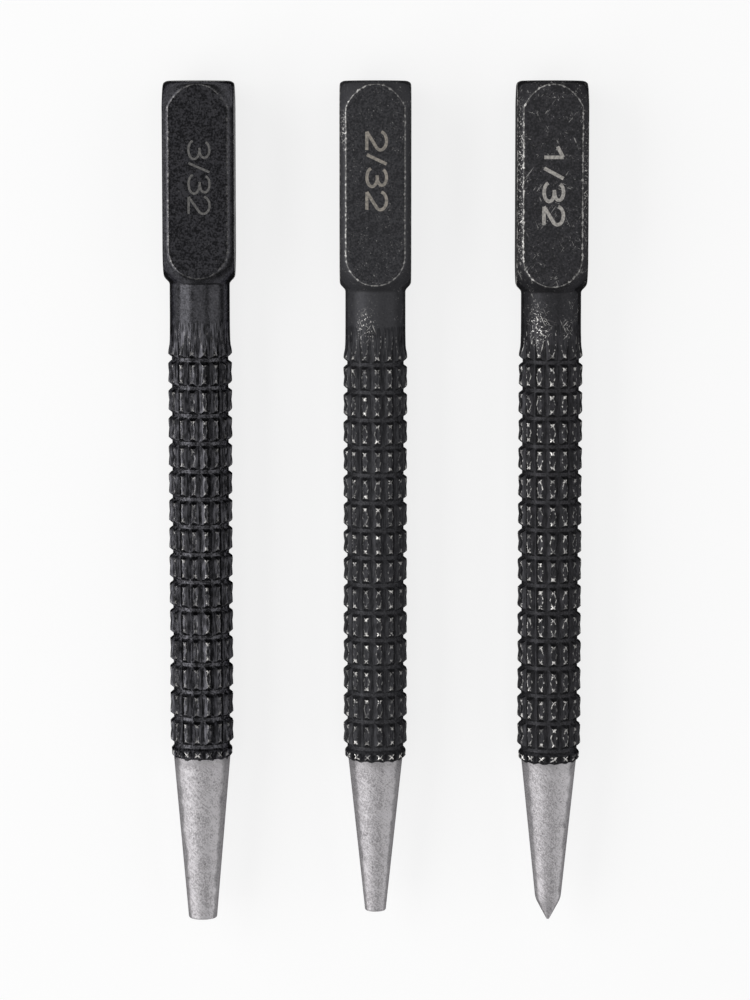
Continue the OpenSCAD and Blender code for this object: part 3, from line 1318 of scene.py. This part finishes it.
class KnurlRolling:
    """Tree of Geometry Nodes that repeats flat tiles on a grid and rolls the grid round a bar."""

    SOCKETS = {
        "Turned parts": "NodeSocketObject",
        Band.RUN_OUT.value: "NodeSocketObject",
        Band.PADS.value: "NodeSocketObject",
        Band.LAST.value: "NodeSocketObject",
        "Tiles round": "NodeSocketInt",
        "Pads along": "NodeSocketInt",
        "Tile width": "NodeSocketFloat",
        "Pad pitch": "NodeSocketFloat",
        "First ring": "NodeSocketFloat",
        "Bar radius": "NodeSocketFloat",
        "First angle": "NodeSocketFloat",
        "Twist rate": "NodeSocketFloat",
        "Unevenness": "NodeSocketFloat",
        "Seed": "NodeSocketInt",
        "Material": "NodeSocketMaterial",
    }

    def __init__(self) -> None:
        """Makes the tree with its named inputs."""
        self.tree = bpy.data.node_groups.new("rolled_knurl", "GeometryNodeTree")
        self.graph = Graph(self.tree)
        for name, kind in self.SOCKETS.items():
            self.tree.interface.new_socket(name, in_out="INPUT", socket_type=kind)
        self.tree.interface.new_socket("Geometry", in_out="OUTPUT", socket_type="NodeSocketGeometry")
        self.given = self.graph.add("NodeGroupInput").outputs

    def band(self, band: Band, rows: object, start: object) -> Socket:
        """Instances one tile on a grid of points.

        Args:
            band: The stretch of the grip that the tile is for.
            rows: Number of tiles along the bar.
            start: Station of the first tile.

        Returns:
            The instances, each with random numbers of its own.
        """
        graph, given = self.graph, self.given
        index = graph.call("GeometryNodeInputIndex", {})
        column = graph.math("MODULO", index, given["Tiles round"])
        row = graph.math("FLOOR", graph.math("DIVIDE", index, given["Tiles round"]))
        across = graph.math("MULTIPLY", graph.math("ADD", column, 0.5), given["Tile width"])
        along = graph.math("MULTIPLY_ADD", row, given["Pad pitch"], start)
        spot = graph.call("ShaderNodeCombineXYZ", {"X": across, "Y": along})
        count = graph.math("MULTIPLY", given["Tiles round"], rows)
        points = graph.call("GeometryNodePoints", {"Count": count, "Position": spot})
        tile = graph.call("GeometryNodeObjectInfo", {"Object": given[band.value]}, "Geometry")
        tiles = graph.call("GeometryNodeInstanceOnPoints", {"Points": points, "Instance": tile})
        bounds = {"Min": (-1.0, -1.0, -1.0), "Max": (1.0, 1.0, 1.0), "Seed": given["Seed"]}
        luck = graph.call("FunctionNodeRandomValue", bounds, "Value", data_type="FLOAT_VECTOR")
        named = {"Geometry": tiles, "Name": Field.LUCK.value, "Value": luck}
        kind = {"data_type": "FLOAT_VECTOR", "domain": "INSTANCE"}
        return graph.call("GeometryNodeStoreNamedAttribute", named, **kind)

    def parts(self, vector: object) -> bpy.types.bpy_prop_collection:
        """The three numbers of a vector.

        Args:
            vector: The vector.

        Returns:
            The outputs X, Y and Z.
        """
        node = self.graph.add("ShaderNodeSeparateXYZ")
        self.graph.feed(node.inputs[0], vector)
        return node.outputs

    def held(self, name: Field, kind: str) -> Socket:
        """Values of a field that the geometry holds."""
        inputs = {"Name": name.value}
        return self.graph.call("GeometryNodeInputNamedAttribute", inputs, "Attribute", data_type=kind)

    def wrap(self, surface: Socket) -> Socket:
        """Rolls a flat surface round the bar, with its pads a little uneven.

        Args:
            surface: The flat surface: across, along and out.

        Returns:
            The surface round the bar.
        """
        graph, given = self.graph, self.given
        here = self.parts(graph.call("GeometryNodeInputPosition", {}))
        luck = self.parts(self.held(Field.LUCK, "FLOAT_VECTOR"))
        from_ring = graph.math("SUBTRACT", here["Y"], given["First ring"])
        phase = graph.math("MULTIPLY", graph.math("DIVIDE", from_ring, given["Pad pitch"]), math.tau)
        lean = graph.math("MULTIPLY", graph.math("SINE", phase), luck["Y"])
        lifted = graph.math("ADD", luck["X"], lean)
        raised = graph.times(lifted, self.held(Field.CROWN, "FLOAT"), given["Unevenness"])
        radius = graph.math("ADD", here["Z"], raised)
        angle = graph.math("ADD", graph.math("DIVIDE", here["X"], given["Bar radius"]), given["First angle"])
        angle = graph.math("MULTIPLY_ADD", from_ring, given["Twist rate"], angle)
        spot = {
            "X": graph.math("MULTIPLY", radius, graph.math("SINE", angle)),
            "Y": graph.math("MULTIPLY", here["Y"], -1.0),
            "Z": graph.math("MULTIPLY", radius, graph.math("COSINE", angle)),
        }
        place = graph.call("ShaderNodeCombineXYZ", spot)
        return graph.call("GeometryNodeSetPosition", {"Geometry": surface, "Position": place})

    def build(self) -> bpy.types.NodeTree:
        """Writes the tree.

        Returns:
            The tree.
        """
        graph, given = self.graph, self.given
        half = graph.math("MULTIPLY", given["Pad pitch"], 0.5)
        pads_start = graph.math("ADD", given["First ring"], half)
        last_start = graph.math("MULTIPLY_ADD", given["Pads along"], given["Pad pitch"], given["First ring"])
        flat = graph.add("GeometryNodeJoinGeometry")
        graph.feed(flat.inputs[0], self.band(Band.RUN_OUT, 1.0, given["First ring"]))
        graph.feed(flat.inputs[0], self.band(Band.PADS, given["Pads along"], pads_start))
        graph.feed(flat.inputs[0], self.band(Band.LAST, 1.0, last_start))
        surface = graph.call("GeometryNodeRealizeInstances", {"Geometry": flat.outputs[0]})
        turned = graph.call("GeometryNodeObjectInfo", {"Object": given["Turned parts"]}, "Geometry")
        whole = graph.add("GeometryNodeJoinGeometry")
        graph.feed(whole.inputs[0], self.wrap(surface))
        graph.feed(whole.inputs[0], turned)
        welding = {"Geometry": whole.outputs[0], "Distance": WELD}
        welded = graph.call("GeometryNodeMergeByDistance", welding)
        real = graph.call("GeometryNodeRealizeInstances", {"Geometry": welded})
        dressed = graph.call("GeometryNodeSetMaterial", {"Geometry": real, "Material": given["Material"]})
        output = graph.add("NodeGroupOutput")
        graph.feed(output.inputs["Geometry"], dressed)
        return self.tree


@dataclass(frozen=True)
class Head:
    """Square head with turned ends, and the round neck below it."""

    # Rows of points: stations near the struck face, numbers of rows, and where the stretches end
    EDGE_ROWS = (0.0, 0.03, 0.08, 0.14, 0.22, 0.32, 0.44, 0.58)
    NEAR_START = 0.72
    NEAR_ROWS = 21
    MIDDLE_ROWS = 16
    FAR_ROWS = 24
    FILLET_ROWS = 8
    NECK_ROWS = 7
    FILLET_START = 0.5
    FILLET_END = 0.4
    NECK_MARGIN = 0.6
    # Distance below the head from which the neck is plain
    ROUND_START = 0.35
    # Distance above the neck's end at which the lines of points have turned to the flutes
    TURN_MARGIN = 1.5

    # Number of rings of points on the struck face, and the shares of its radius that they span
    FACE_ROWS = 5
    FACE_SHARES = (0.25, 0.94)
    # Keeps the turned end short of its pole
    POLE_SHARE = 0.999
    # Share of a turned end, from its face, within which its edge with the flats is sharpest
    BLEND_SHARE = 0.4

    length: float
    across_flats: float
    turned_d: float = 11.1
    struck_face_d: float = 7.1
    neck_d: float = 7.2
    face_break: float = 0.45
    crown_start: float = 3.0
    crown_centre: Point = (6.262, -4.904)
    crown_r: float = 10.951
    side_blend: float = 0.26
    end_blend: float = 0.2
    fillet: float = 0.3
    corner_share: float = 0.6

    def round_end(self, diameter: float) -> float:
        """Distance from the centre of a turned end to where it reaches a diameter."""
        return math.sqrt(self.turned_d ** 2 - diameter ** 2) / 2

    def stations(self, neck_end: float) -> np.ndarray:
        """Stations of the rows of points, from the struck face to the end of the neck.

        Args:
            neck_end: Station at which the neck ends.

        Returns:
            The stations.
        """
        start = self.round_end(self.struck_face_d)
        stop = self.length - self.round_end(self.neck_d)
        end, below = self.length - self.FILLET_START, self.length + self.FILLET_END
        near = np.linspace(self.NEAR_START, start, self.NEAR_ROWS)
        middle = np.linspace(start, stop, self.MIDDLE_ROWS)[1:-1]
        far = np.linspace(stop, end, self.FAR_ROWS)
        fillet = np.linspace(end, below, self.FILLET_ROWS)[1:]
        neck = np.linspace(below, neck_end - self.NECK_MARGIN, self.NECK_ROWS)[1:]
        return np.concatenate([self.EDGE_ROWS, near, middle, far, fillet, neck])

    def turned_radius(self, stations: np.ndarray) -> np.ndarray:
        """Radius of the turned form, before the flats are cut.

        Args:
            stations: Stations along the head.

        Returns:
            The radii.
        """
        radius = self.turned_d / 2
        stop = self.length - self.round_end(self.neck_d)
        beyond = np.clip(stations - stop, 0, radius * self.POLE_SHARE)
        middle, rise = self.crown_centre
        crown = rise + np.sqrt(self.crown_r ** 2 - (middle - np.minimum(stations, self.crown_start)) ** 2)
        inset = np.clip(self.face_break - stations, 0, None)
        form = np.minimum(np.sqrt(radius ** 2 - beyond ** 2), crown)
        return form - self.face_break + np.sqrt(self.face_break ** 2 - inset ** 2)

    def form(self, stations: np.ndarray, angles: np.ndarray) -> tuple[np.ndarray, np.ndarray]:
        """Form of the head with its flats, and of the neck.

        Args:
            stations: Stations, as a column.
            angles: Angles, as rows by columns.

        Returns:
            The radii, and the distances from the edges of the flats, more than 0 on a flat.
        """
        turned = self.turned_radius(stations)
        square = self.across_flats / 2 / np.maximum(np.abs(np.cos(angles)), np.abs(np.sin(angles)))
        first = self.round_end(self.struck_face_d)
        ends = np.minimum(stations, self.length - stations)
        blend = Ramp(first, first * self.BLEND_SHARE, self.side_blend, self.end_blend).at(ends)
        cut = smooth_min(turned, square, blend)
        necked = smooth_max(cut, np.full_like(cut, self.neck_d / 2), self.fillet)
        radii = np.where(stations < self.length / 2, cut, necked)
        radii = np.where(stations > self.length + self.ROUND_START, self.neck_d / 2, radii)
        slope = math.sqrt((self.turned_d / self.across_flats) ** 2 - 1)
        return radii, np.where(stations < self.length, (turned - square) / slope, -FAR)

    def surface(self, grip: Grip) -> Surface:
        """Surface of the head and the neck, closed at the struck face.

        Args:
            grip: The rolled grip that the neck runs into.

        Returns:
            The surface.
        """
        neck_end = grip.first_ring - grip.lead_in
        columns, rings = 2 * grip.columns, self.FACE_ROWS
        stations = self.stations(neck_end)[:, None]
        even = np.arange(columns) * math.tau / columns
        cornered = even + self.corner_share / 4 * np.sin(4 * even)
        share = Ramp(self.length, neck_end - self.TURN_MARGIN).at(stations)
        angles = (1 - share) * cornered + share * grip.angles(neck_end, columns)
        radii, edge_gap = self.form(stations, angles)
        face = np.linspace(*self.FACE_SHARES, rings)[:, None]
        radii = np.vstack([face * radii[0], radii])
        angles = np.vstack([np.repeat(angles[:1], rings, axis=0), angles])
        edge_gap = np.vstack([np.full((rings, columns), -FAR), edge_gap])
        body = Surface.turned(np.concatenate([np.zeros(rings), stations[:, 0]]), angles, radii)
        body.fields = {Field.EDGE_GAP: edge_gap.ravel()}
        last = grip.angles(neck_end, grip.columns)[None]
        round_neck = np.full((1, grip.columns), self.neck_d / 2)
        narrow = Surface.turned(np.array([neck_end]), last, round_neck).points
        ring = Surface.halved(body.points[-columns:], narrow)
        body.close(0.0, columns, True)
        return body.joined([ring], {Field.EDGE_GAP: -FAR})


@dataclass(frozen=True)
class Taper:
    """Ground taper from the grip to the driving tip."""

    # Rows of points: first ones below the grip, those of the cup, and numbers of the others
    START_ROWS = (0.0, 0.1, 0.22, 0.36, 0.55, 0.8)
    CUP_SHARES = (1.0, 0.8, 0.55, 0.3)
    CONE_ROWS = 20
    EDGE_ROWS = 7
    SHOULDER_ROWS = 9
    POINT_ROWS = 8

    form: TipForm
    length: float
    root_d: float
    tip_d: float
    cup_d: float = 0.0
    cup_depth: float = 0.3
    edge_r: float = 0.25
    point_length: float = 2.6
    point_flat_d: float = 0.3
    shoulder: float = 0.6
    shoulder_blend: float = 0.22
    scallop: float = 0.16

    def cupped_end(self, stop: float) -> list[Point]:
        """Outline of a blunt tip: its broken edge and its cup.

        Args:
            stop: Station at which the edge starts.

        Returns:
            The outline.
        """
        points = []
        for angle in np.linspace(0, math.pi / 2, self.EDGE_ROWS):
            radius = self.tip_d / 2 - self.edge_r * (1 - math.cos(angle))
            points.append((stop + self.edge_r * math.sin(angle), radius))
        for share in self.CUP_SHARES:
            points.append((self.length - self.cup_depth * (1 - share ** 2), self.cup_d / 2 * share))
        return points

    def pointed_end(self, stop: float, slope: float) -> list[Point]:
        """Outline of a conical point, with a rounded shoulder.

        Args:
            stop: Station at which the point starts.
            slope: Slope of the taper above it.

        Returns:
            The outline.
        """
        points = []
        tip, flat = self.tip_d / 2, self.point_flat_d / 2
        fall = (tip - flat) / self.point_length
        for reach in np.linspace(-self.shoulder, self.shoulder, self.SHOULDER_ROWS)[1:]:
            both = np.array(tip - slope * reach), np.array(tip - fall * reach)
            points.append((stop + reach, float(smooth_min(*both, self.shoulder_blend))))
        for station in np.linspace(stop + self.shoulder, self.length, self.POINT_ROWS)[1:]:
            points.append((float(station), flat + fall * (self.length - float(station))))
        return points

    def outline(self, start: float) -> list[Point]:
        """Station and radius of the points of the taper's outline.

        Args:
            start: Station at which the taper starts.

        Returns:
            The outline, from the start to the tip.
        """
        root, tip = self.root_d / 2, self.tip_d / 2
        cupped = self.form is TipForm.CUPPED
        stop = self.length - (self.edge_r if cupped else self.point_length)
        slope = (root - tip) / (stop - start)
        near = [start + step for step in self.START_ROWS]
        rest = np.linspace(near[-1], stop - self.shoulder, self.CONE_ROWS)[1:].tolist()
        points = [(station, root - slope * (station - start)) for station in near + rest]
        return points + (self.cupped_end(stop) if cupped else self.pointed_end(stop, slope))

    def surface(self, grip: Grip) -> Surface:
        """Closed surface of the taper.

        Args:
            grip: The grip that the taper is ground out of.

        Returns:
            The surface.
        """
        outline = [(grip.end, self.root_d / 4)] + self.outline(grip.end)
        stations = np.array([point[0] for point in outline])
        radii = np.array([[point[1]] for point in outline]) * np.ones((1, grip.columns))
        angles = np.tile(grip.angles(grip.end, grip.columns), (len(stations), 1))
        surface = Surface.turned(stations, angles, radii)
        below = (stations - grip.end)[:, None] * np.ones((1, grip.columns))
        phase = (angles - math.radians(grip.flute_angle)) * grip.flutes
        surface.fields = {
            Field.BELOW_GRIP: below.ravel(),
            Field.SCALLOP: (self.scallop * (0.5 + 0.5 * np.cos(phase))).ravel(),
            # How far the surface faces up or down; the steel gets painted shade where this is low
            Field.FACING: np.abs(np.cos(angles)).ravel(),
        }
        end = self.length - (self.cup_depth if self.form is TipForm.CUPPED else 0.0)
        surface.close(end, grip.columns, False)
        return surface.close(grip.end, grip.columns, True)


def arc(centre: Point, reach: Point, start: float, end: float, count: int = 15) -> list[Point]:
    """Points of an elliptic arc, from its half-lengths across and up and its two angles in degrees."""
    turns = np.radians(np.linspace(start, end, count))
    return [(centre[0] + reach[0] * math.cos(turn), centre[1] + reach[1] * math.sin(turn)) for turn in turns]


# Strokes of the numerals, from 0 to 1 across and up
NUMERALS = {
    "1": [[(1.0, 0.0), (1.0, 1.0)], [(0.0, 0.68), (1.0, 0.97)]],
    "2": [arc((0.5, 0.69), (0.5, 0.31), 172, -32) + [(0.0, 0.0)], [(0.0, 0.0), (1.0, 0.0)]],
    "3": [
        arc((0.48, 0.765), (0.45, 0.235), 165, -70) + [(0.36, 0.525)],
        [(0.36, 0.525)] + arc((0.48, 0.265), (0.52, 0.265), 88, -168),
    ],
    "/": [[(0.0, 0.0), (1.0, 1.0)]],
}


@dataclass(frozen=True)
class SizeMark:
    """Etched size of the tip: numerals that read along the bar, with their feet towards -X."""

    baseline: float
    cap_height: float
    pen: float
    numerals: tuple[tuple[str, float, float], ...]
    depth: float = 0.03
    step: float = 0.002

    def stroke(self, line: np.ndarray, top: float) -> Surface:
        """Thin closed solid of one stroke of the pen.

        Args:
            line: Points along the middle of the stroke, as x and station.
            top: Height of the stroke's upper face above the bar's axis.

        Returns:
            The stroke.
        """
        ahead = np.gradient(line, axis=0)
        ahead /= np.linalg.norm(ahead, axis=1)[:, None]
        aside = np.stack([-ahead[:, 1], ahead[:, 0]], axis=1) * self.pen / 2
        rims = [line + aside, line - aside]
        count = len(line)
        points = []
        for height in (top, top - self.depth):
            for rim in rims:
                points.append(np.stack([rim[:, 0], -rim[:, 1], np.full(count, height)], axis=1))
        left, right, low_left, low_right = (number * count for number in range(4))
        faces = [(left, right, low_right, low_left)]
        faces.append(tuple(start + count - 1 for start in (right, left, low_left, low_right)))
        sides = ((left, right), (right, low_right), (low_right, low_left), (low_left, left))
        for index in range(count - 1):
            for first, second in sides:
                faces.append((first + index, first + index + 1, second + index + 1, second + index))
        return Surface(np.vstack(points), faces)

    def surface(self, top: float) -> Surface:
        """Surface of the whole mark.

        Args:
            top: Height of the mark's upper face above the bar's axis.

        Returns:
            The surface.
        """
        strokes = []
        inset = self.pen / 2
        for numeral, start, end in self.numerals:
            for number, line in enumerate(NUMERALS[numeral]):
                units = np.array(line)
                stations = start + inset + units[:, 0] * (end - start - self.pen)
                feet = self.baseline + inset + units[:, 1] * (self.cap_height - self.pen)
                strokes.append(self.stroke(np.stack([feet, stations], axis=1), top - number * self.step))
        return strokes[0].joined(strokes[1:], {})


@dataclass(frozen=True)
class NailSetter:
    """One setter of the set, with its finishes."""

    size: str
    head_length: float
    grip: Grip
    taper: Taper
    mark: SizeMark
    oxide: BlackOxide
    steel: GroundSteel
    etching: EtchedMark
    flat_sink: float = 0.006

    @property
    def node(self) -> str:
        """Name of the setter's solid."""
        return f"nail_setter_{self.size}"

    def dress(self, piece: bpy.types.Object, slot: str, material: bpy.types.Material | None) -> None:
        """Gives a piece its finish and the body that it rides on.

        Args:
            piece: The piece.
            slot: Name of the record's material slot. Not used.
            material: The finish, or None where the mesh already has it.
        """
        if material is not None:
            piece.data.materials.append(material)
        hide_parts(self.node)
        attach(piece, f"setter_{self.size}")
        log.info("%s: %d faces", piece.name, len(piece.data.polygons))

    def build(self, rolling: bpy.types.NodeTree) -> None:
        """Makes the setter's three pieces in place of its solid.

        Args:
            rolling: The tree that rolls a knurl.
        """
        lie = Lie.of_node(self.node)
        low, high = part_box(self.node)
        flat_height = (high[2] - low[2]) / 2 / MM
        head = Head(self.head_length, 2 * (flat_height - self.flat_sink))
        turned = head.surface(self.grip).joined([self.grip.end_cap()], SHANK_FIELDS)
        shank = self.grip.roll(turned, rolling, self.oxide.material(lie))
        self.dress(finished(f"setter_{self.size}_shank", shank, lie), "black_oxide_steel", None)
        cone = self.taper.surface(self.grip).mesh("taper")
        taper = finished(f"setter_{self.size}_taper", cone, lie, TAPER_CREASE)
        self.dress(taper, "ground_steel", self.steel.material(lie))
        mark = finished(f"size_mark_{self.size}", self.mark.surface(flat_height).mesh("mark"), lie)
        self.dress(mark, "etched_mark", self.etching.material(lie))


@dataclass(frozen=True)
class Softbox:
    """Long soft lamp parallel to the setters, on one side of them."""

    name: str
    start: float
    end: float
    side: float
    radiance: float
    distance: float = 0.7
    length: float = 1.3

    def hang(self) -> None:
        """Hangs the lamp so that it covers its angles from the vertical, as seen from the set."""
        middle = math.radians((self.start + self.end) / 2) * self.side
        half = math.radians(self.end - self.start) / 2
        lamp = bpy.data.lights.new(self.name, "AREA")
        lamp.shape = "RECTANGLE"
        lamp.size = 2 * self.distance * math.tan(half)
        lamp.size_y = self.length
        lamp.energy = self.radiance * math.pi * lamp.size * lamp.size_y
        holder = bpy.data.objects.new(self.name, lamp)
        holder.location = (math.sin(middle) * self.distance, 0.0, math.cos(middle) * self.distance)
        holder.rotation_euler = Euler((0.0, middle, 0.0))
        bpy.context.scene.collection.objects.link(holder)


@dataclass(frozen=True)
class Studio:
    """Pale floor, soft lamps and the camera that looks down at the set."""

    softboxes: tuple[Softbox, ...]
    paint: FloorPaint = FloorPaint()
    sky: float = 0.12
    floor_side: float = 6.0
    target: Triple = (-0.05, 0.62, 4.275)
    distance: float = 480.0
    tilt: float = 7.0
    lens: float = 143.3
    sensor: float = 36.0
    nearest: float = 0.01
    furthest: float = 20.0

    def lay_floor(self) -> None:
        """Lays the sheet of paper that the set lies on."""
        half = self.floor_side / 2
        form = bmesh.new()
        spots = ((-half, -half), (half, -half), (half, half), (-half, half))
        form.faces.new([form.verts.new((x, y, 0.0)) for x, y in spots])
        mesh = bpy.data.meshes.new("floor")
        form.to_mesh(mesh)
        form.free()
        mesh.materials.append(self.paint.material())
        floor = bpy.data.objects.new("floor", mesh)
        bpy.context.scene.collection.objects.link(floor)

    def light(self) -> None:
        """Hangs the lamps and sets the dim light from all round."""
        for softbox in self.softboxes:
            softbox.hang()
        world = bpy.data.worlds.new("studio")
        world.use_nodes = True
        background = world.node_tree.nodes["Background"]
        background.inputs["Color"].default_value = (1.0, 1.0, 1.0, 1.0)
        background.inputs["Strength"].default_value = self.sky
        bpy.context.scene.world = world

    def place_camera(self) -> None:
        """Places the camera above the set, a little towards the heads."""
        tilt = math.radians(self.tilt)
        lens = bpy.data.cameras.new("camera")
        lens.sensor_fit = "AUTO"
        lens.sensor_width = self.sensor
        lens.lens = self.lens
        lens.clip_start = self.nearest
        lens.clip_end = self.furthest
        camera = bpy.data.objects.new("camera", lens)
        away = Vector((0.0, math.sin(tilt), math.cos(tilt)))
        camera.location = MM * (Vector(self.target) + self.distance * away)
        camera.rotation_euler = Euler((-tilt, 0.0, 0.0))
        bpy.context.scene.collection.objects.link(camera)
        bpy.context.scene.camera = camera

    def build(self) -> None:
        """Sets up the whole stage."""
        self.lay_floor()
        self.light()
        self.place_camera()
        bpy.context.scene.view_settings.view_transform = "Standard"


def widest_setter() -> NailSetter:
    """Sizes and finishes of the setter with the widest tip.

    Returns:
        The setter.
    """
    grip = Grip(
        first_ring=33.1, pitch=3.345, flutes=16, flute_angle=-1.5, twist=6.4,
        ridge_reach=0.26, half_floor=0.04, flute_shade=0.95, root_d=6.86, seed=3,
    )
    numerals = (("3", 6.92, 9.27), ("/", 9.47, 10.82), ("3", 10.92, 13.36), ("2", 13.46, 15.74))
    oxide = BlackOxide(
        "black_oxide_3_32", seed=1.7, roughness=0.25,
        edge_wear=0.2, pad_wear=0.36, fleck_wear=0.12, scratch_wear=0.0,
        dark=(0.024, 0.024, 0.026), light=(0.106, 0.105, 0.116), painted_flat_shade=0.55, bump=0.04,
    )
    return NailSetter(
        size="3_32",
        head_length=24.0,
        grip=grip,
        taper=Taper(TipForm.CUPPED, length=101.6, root_d=6.86, tip_d=3.46, cup_d=2.38),
        mark=SizeMark(baseline=-1.21, cap_height=2.76, pen=0.27, numerals=numerals),
        oxide=oxide,
        steel=GroundSteel("ground_steel_3_32", seed=21.0, ragged=1.3),
        etching=EtchedMark("etched_mark_3_32", 2.0, (0.16, 0.155, 0.15), (0.09, 0.088, 0.085)),
    )


def middle_setter() -> NailSetter:
    """Sizes and finishes of the setter with the middle tip.

    Returns:
        The setter.
    """
    grip = Grip(
        first_ring=33.65, pitch=3.325, flutes=15, flute_angle=15.0, twist=5.5,
        ridge_reach=0.38, half_floor=0.08, flute_shade=0.3, root_d=6.56, seed=5,
    )
    numerals = (("2", 5.73, 8.25), ("/", 8.43, 9.91), ("3", 10.12, 12.57), ("2", 12.84, 15.31))
    oxide = BlackOxide(
        "black_oxide_2_32", seed=4.3, roughness=0.48,
        edge_wear=0.61, pad_wear=1.0, fleck_wear=0.46, scratch_wear=0.05,
        dark=(0.035, 0.035, 0.038), light=(0.066, 0.066, 0.071), metallic=0.6, painted_flat_shade=0.05,
        side_wear=0.25, even_tone=0.6,
        scuffs=(Scuff(-1.1, 29.0, 1.4, 2.4, 0.8), Scuff(-3.85, 6.0, 0.55, 3.5, 0.8)),
    )
    return NailSetter(
        size="2_32",
        head_length=24.85,
        grip=grip,
        taper=Taper(TipForm.CUPPED, length=100.7, root_d=6.56, tip_d=2.56, cup_d=1.59),
        mark=SizeMark(baseline=-1.2, cap_height=2.7, pen=0.37, numerals=numerals),
        oxide=oxide,
        steel=GroundSteel("ground_steel_2_32", seed=24.0, ragged=0.4),
        etching=EtchedMark("etched_mark_2_32", 5.0, (0.34, 0.31, 0.27), (0.2, 0.185, 0.165)),
    )


def pointed_setter() -> NailSetter:
    """Sizes and finishes of the pointed setter.

    Returns:
        The setter.
    """
    grip = Grip(
        first_ring=33.4, pitch=3.36, flutes=15, flute_angle=12.0, twist=7.7,
        ridge_reach=0.38, half_floor=0.08, flute_shade=0.35, root_d=6.64, seed=8,
    )
    numerals = (("1", 7.46, 9.14), ("/", 10.0, 11.66), ("3", 11.81, 14.36), ("2", 14.55, 17.11))
    scuffs = (
        Scuff(-1.5, 29.0, 1.8, 3.2, 1.0),
        Scuff(1.9, 29.5, 0.8, 2.2, 0.5),
        Scuff(-3.85, 12.5, 0.5, 15.0, 1.0),
        Scuff(3.9, 12.0, 0.35, 9.5, 0.7),
    )
    oxide = BlackOxide(
        "black_oxide_1_32", seed=7.9, roughness=0.45,
        edge_wear=0.8, pad_wear=1.0, fleck_wear=0.5, scratch_wear=0.32,
        dark=(0.031, 0.031, 0.033), light=(0.056, 0.055, 0.06), metallic=0.7,
        side_wear=0.65, scuffs=scuffs,
    )
    return NailSetter(
        size="1_32",
        head_length=25.0,
        grip=grip,
        taper=Taper(TipForm.POINTED, length=101.799, root_d=6.64, tip_d=3.09),
        mark=SizeMark(baseline=-1.29, cap_height=2.72, pen=0.42, numerals=numerals),
        oxide=oxide,
        steel=GroundSteel("ground_steel_1_32", seed=27.0, ragged=0.4),
        etching=EtchedMark("etched_mark_1_32", 8.0, (0.47, 0.45, 0.42), (0.28, 0.266, 0.252)),
    )


def main() -> None:
    """Builds the stage and the set."""
    logging.basicConfig(level=logging.INFO, format="%(name)s: %(message)s")
    left = Softbox("left_softbox", start=36.0, end=80.0, side=-1.0, radiance=2.1)
    right = Softbox("right_softbox", start=36.0, end=84.0, side=1.0, radiance=0.8)
    above = Softbox("upper_softbox", start=-22.0, end=22.0, side=1.0, radiance=0.66)
    Studio((left, right, above)).build()
    rolling = KnurlRolling().build()
    for setter in (widest_setter(), middle_setter(), pointed_setter()):
        setter.build(rolling)


if __name__ == "__main__":
    main()
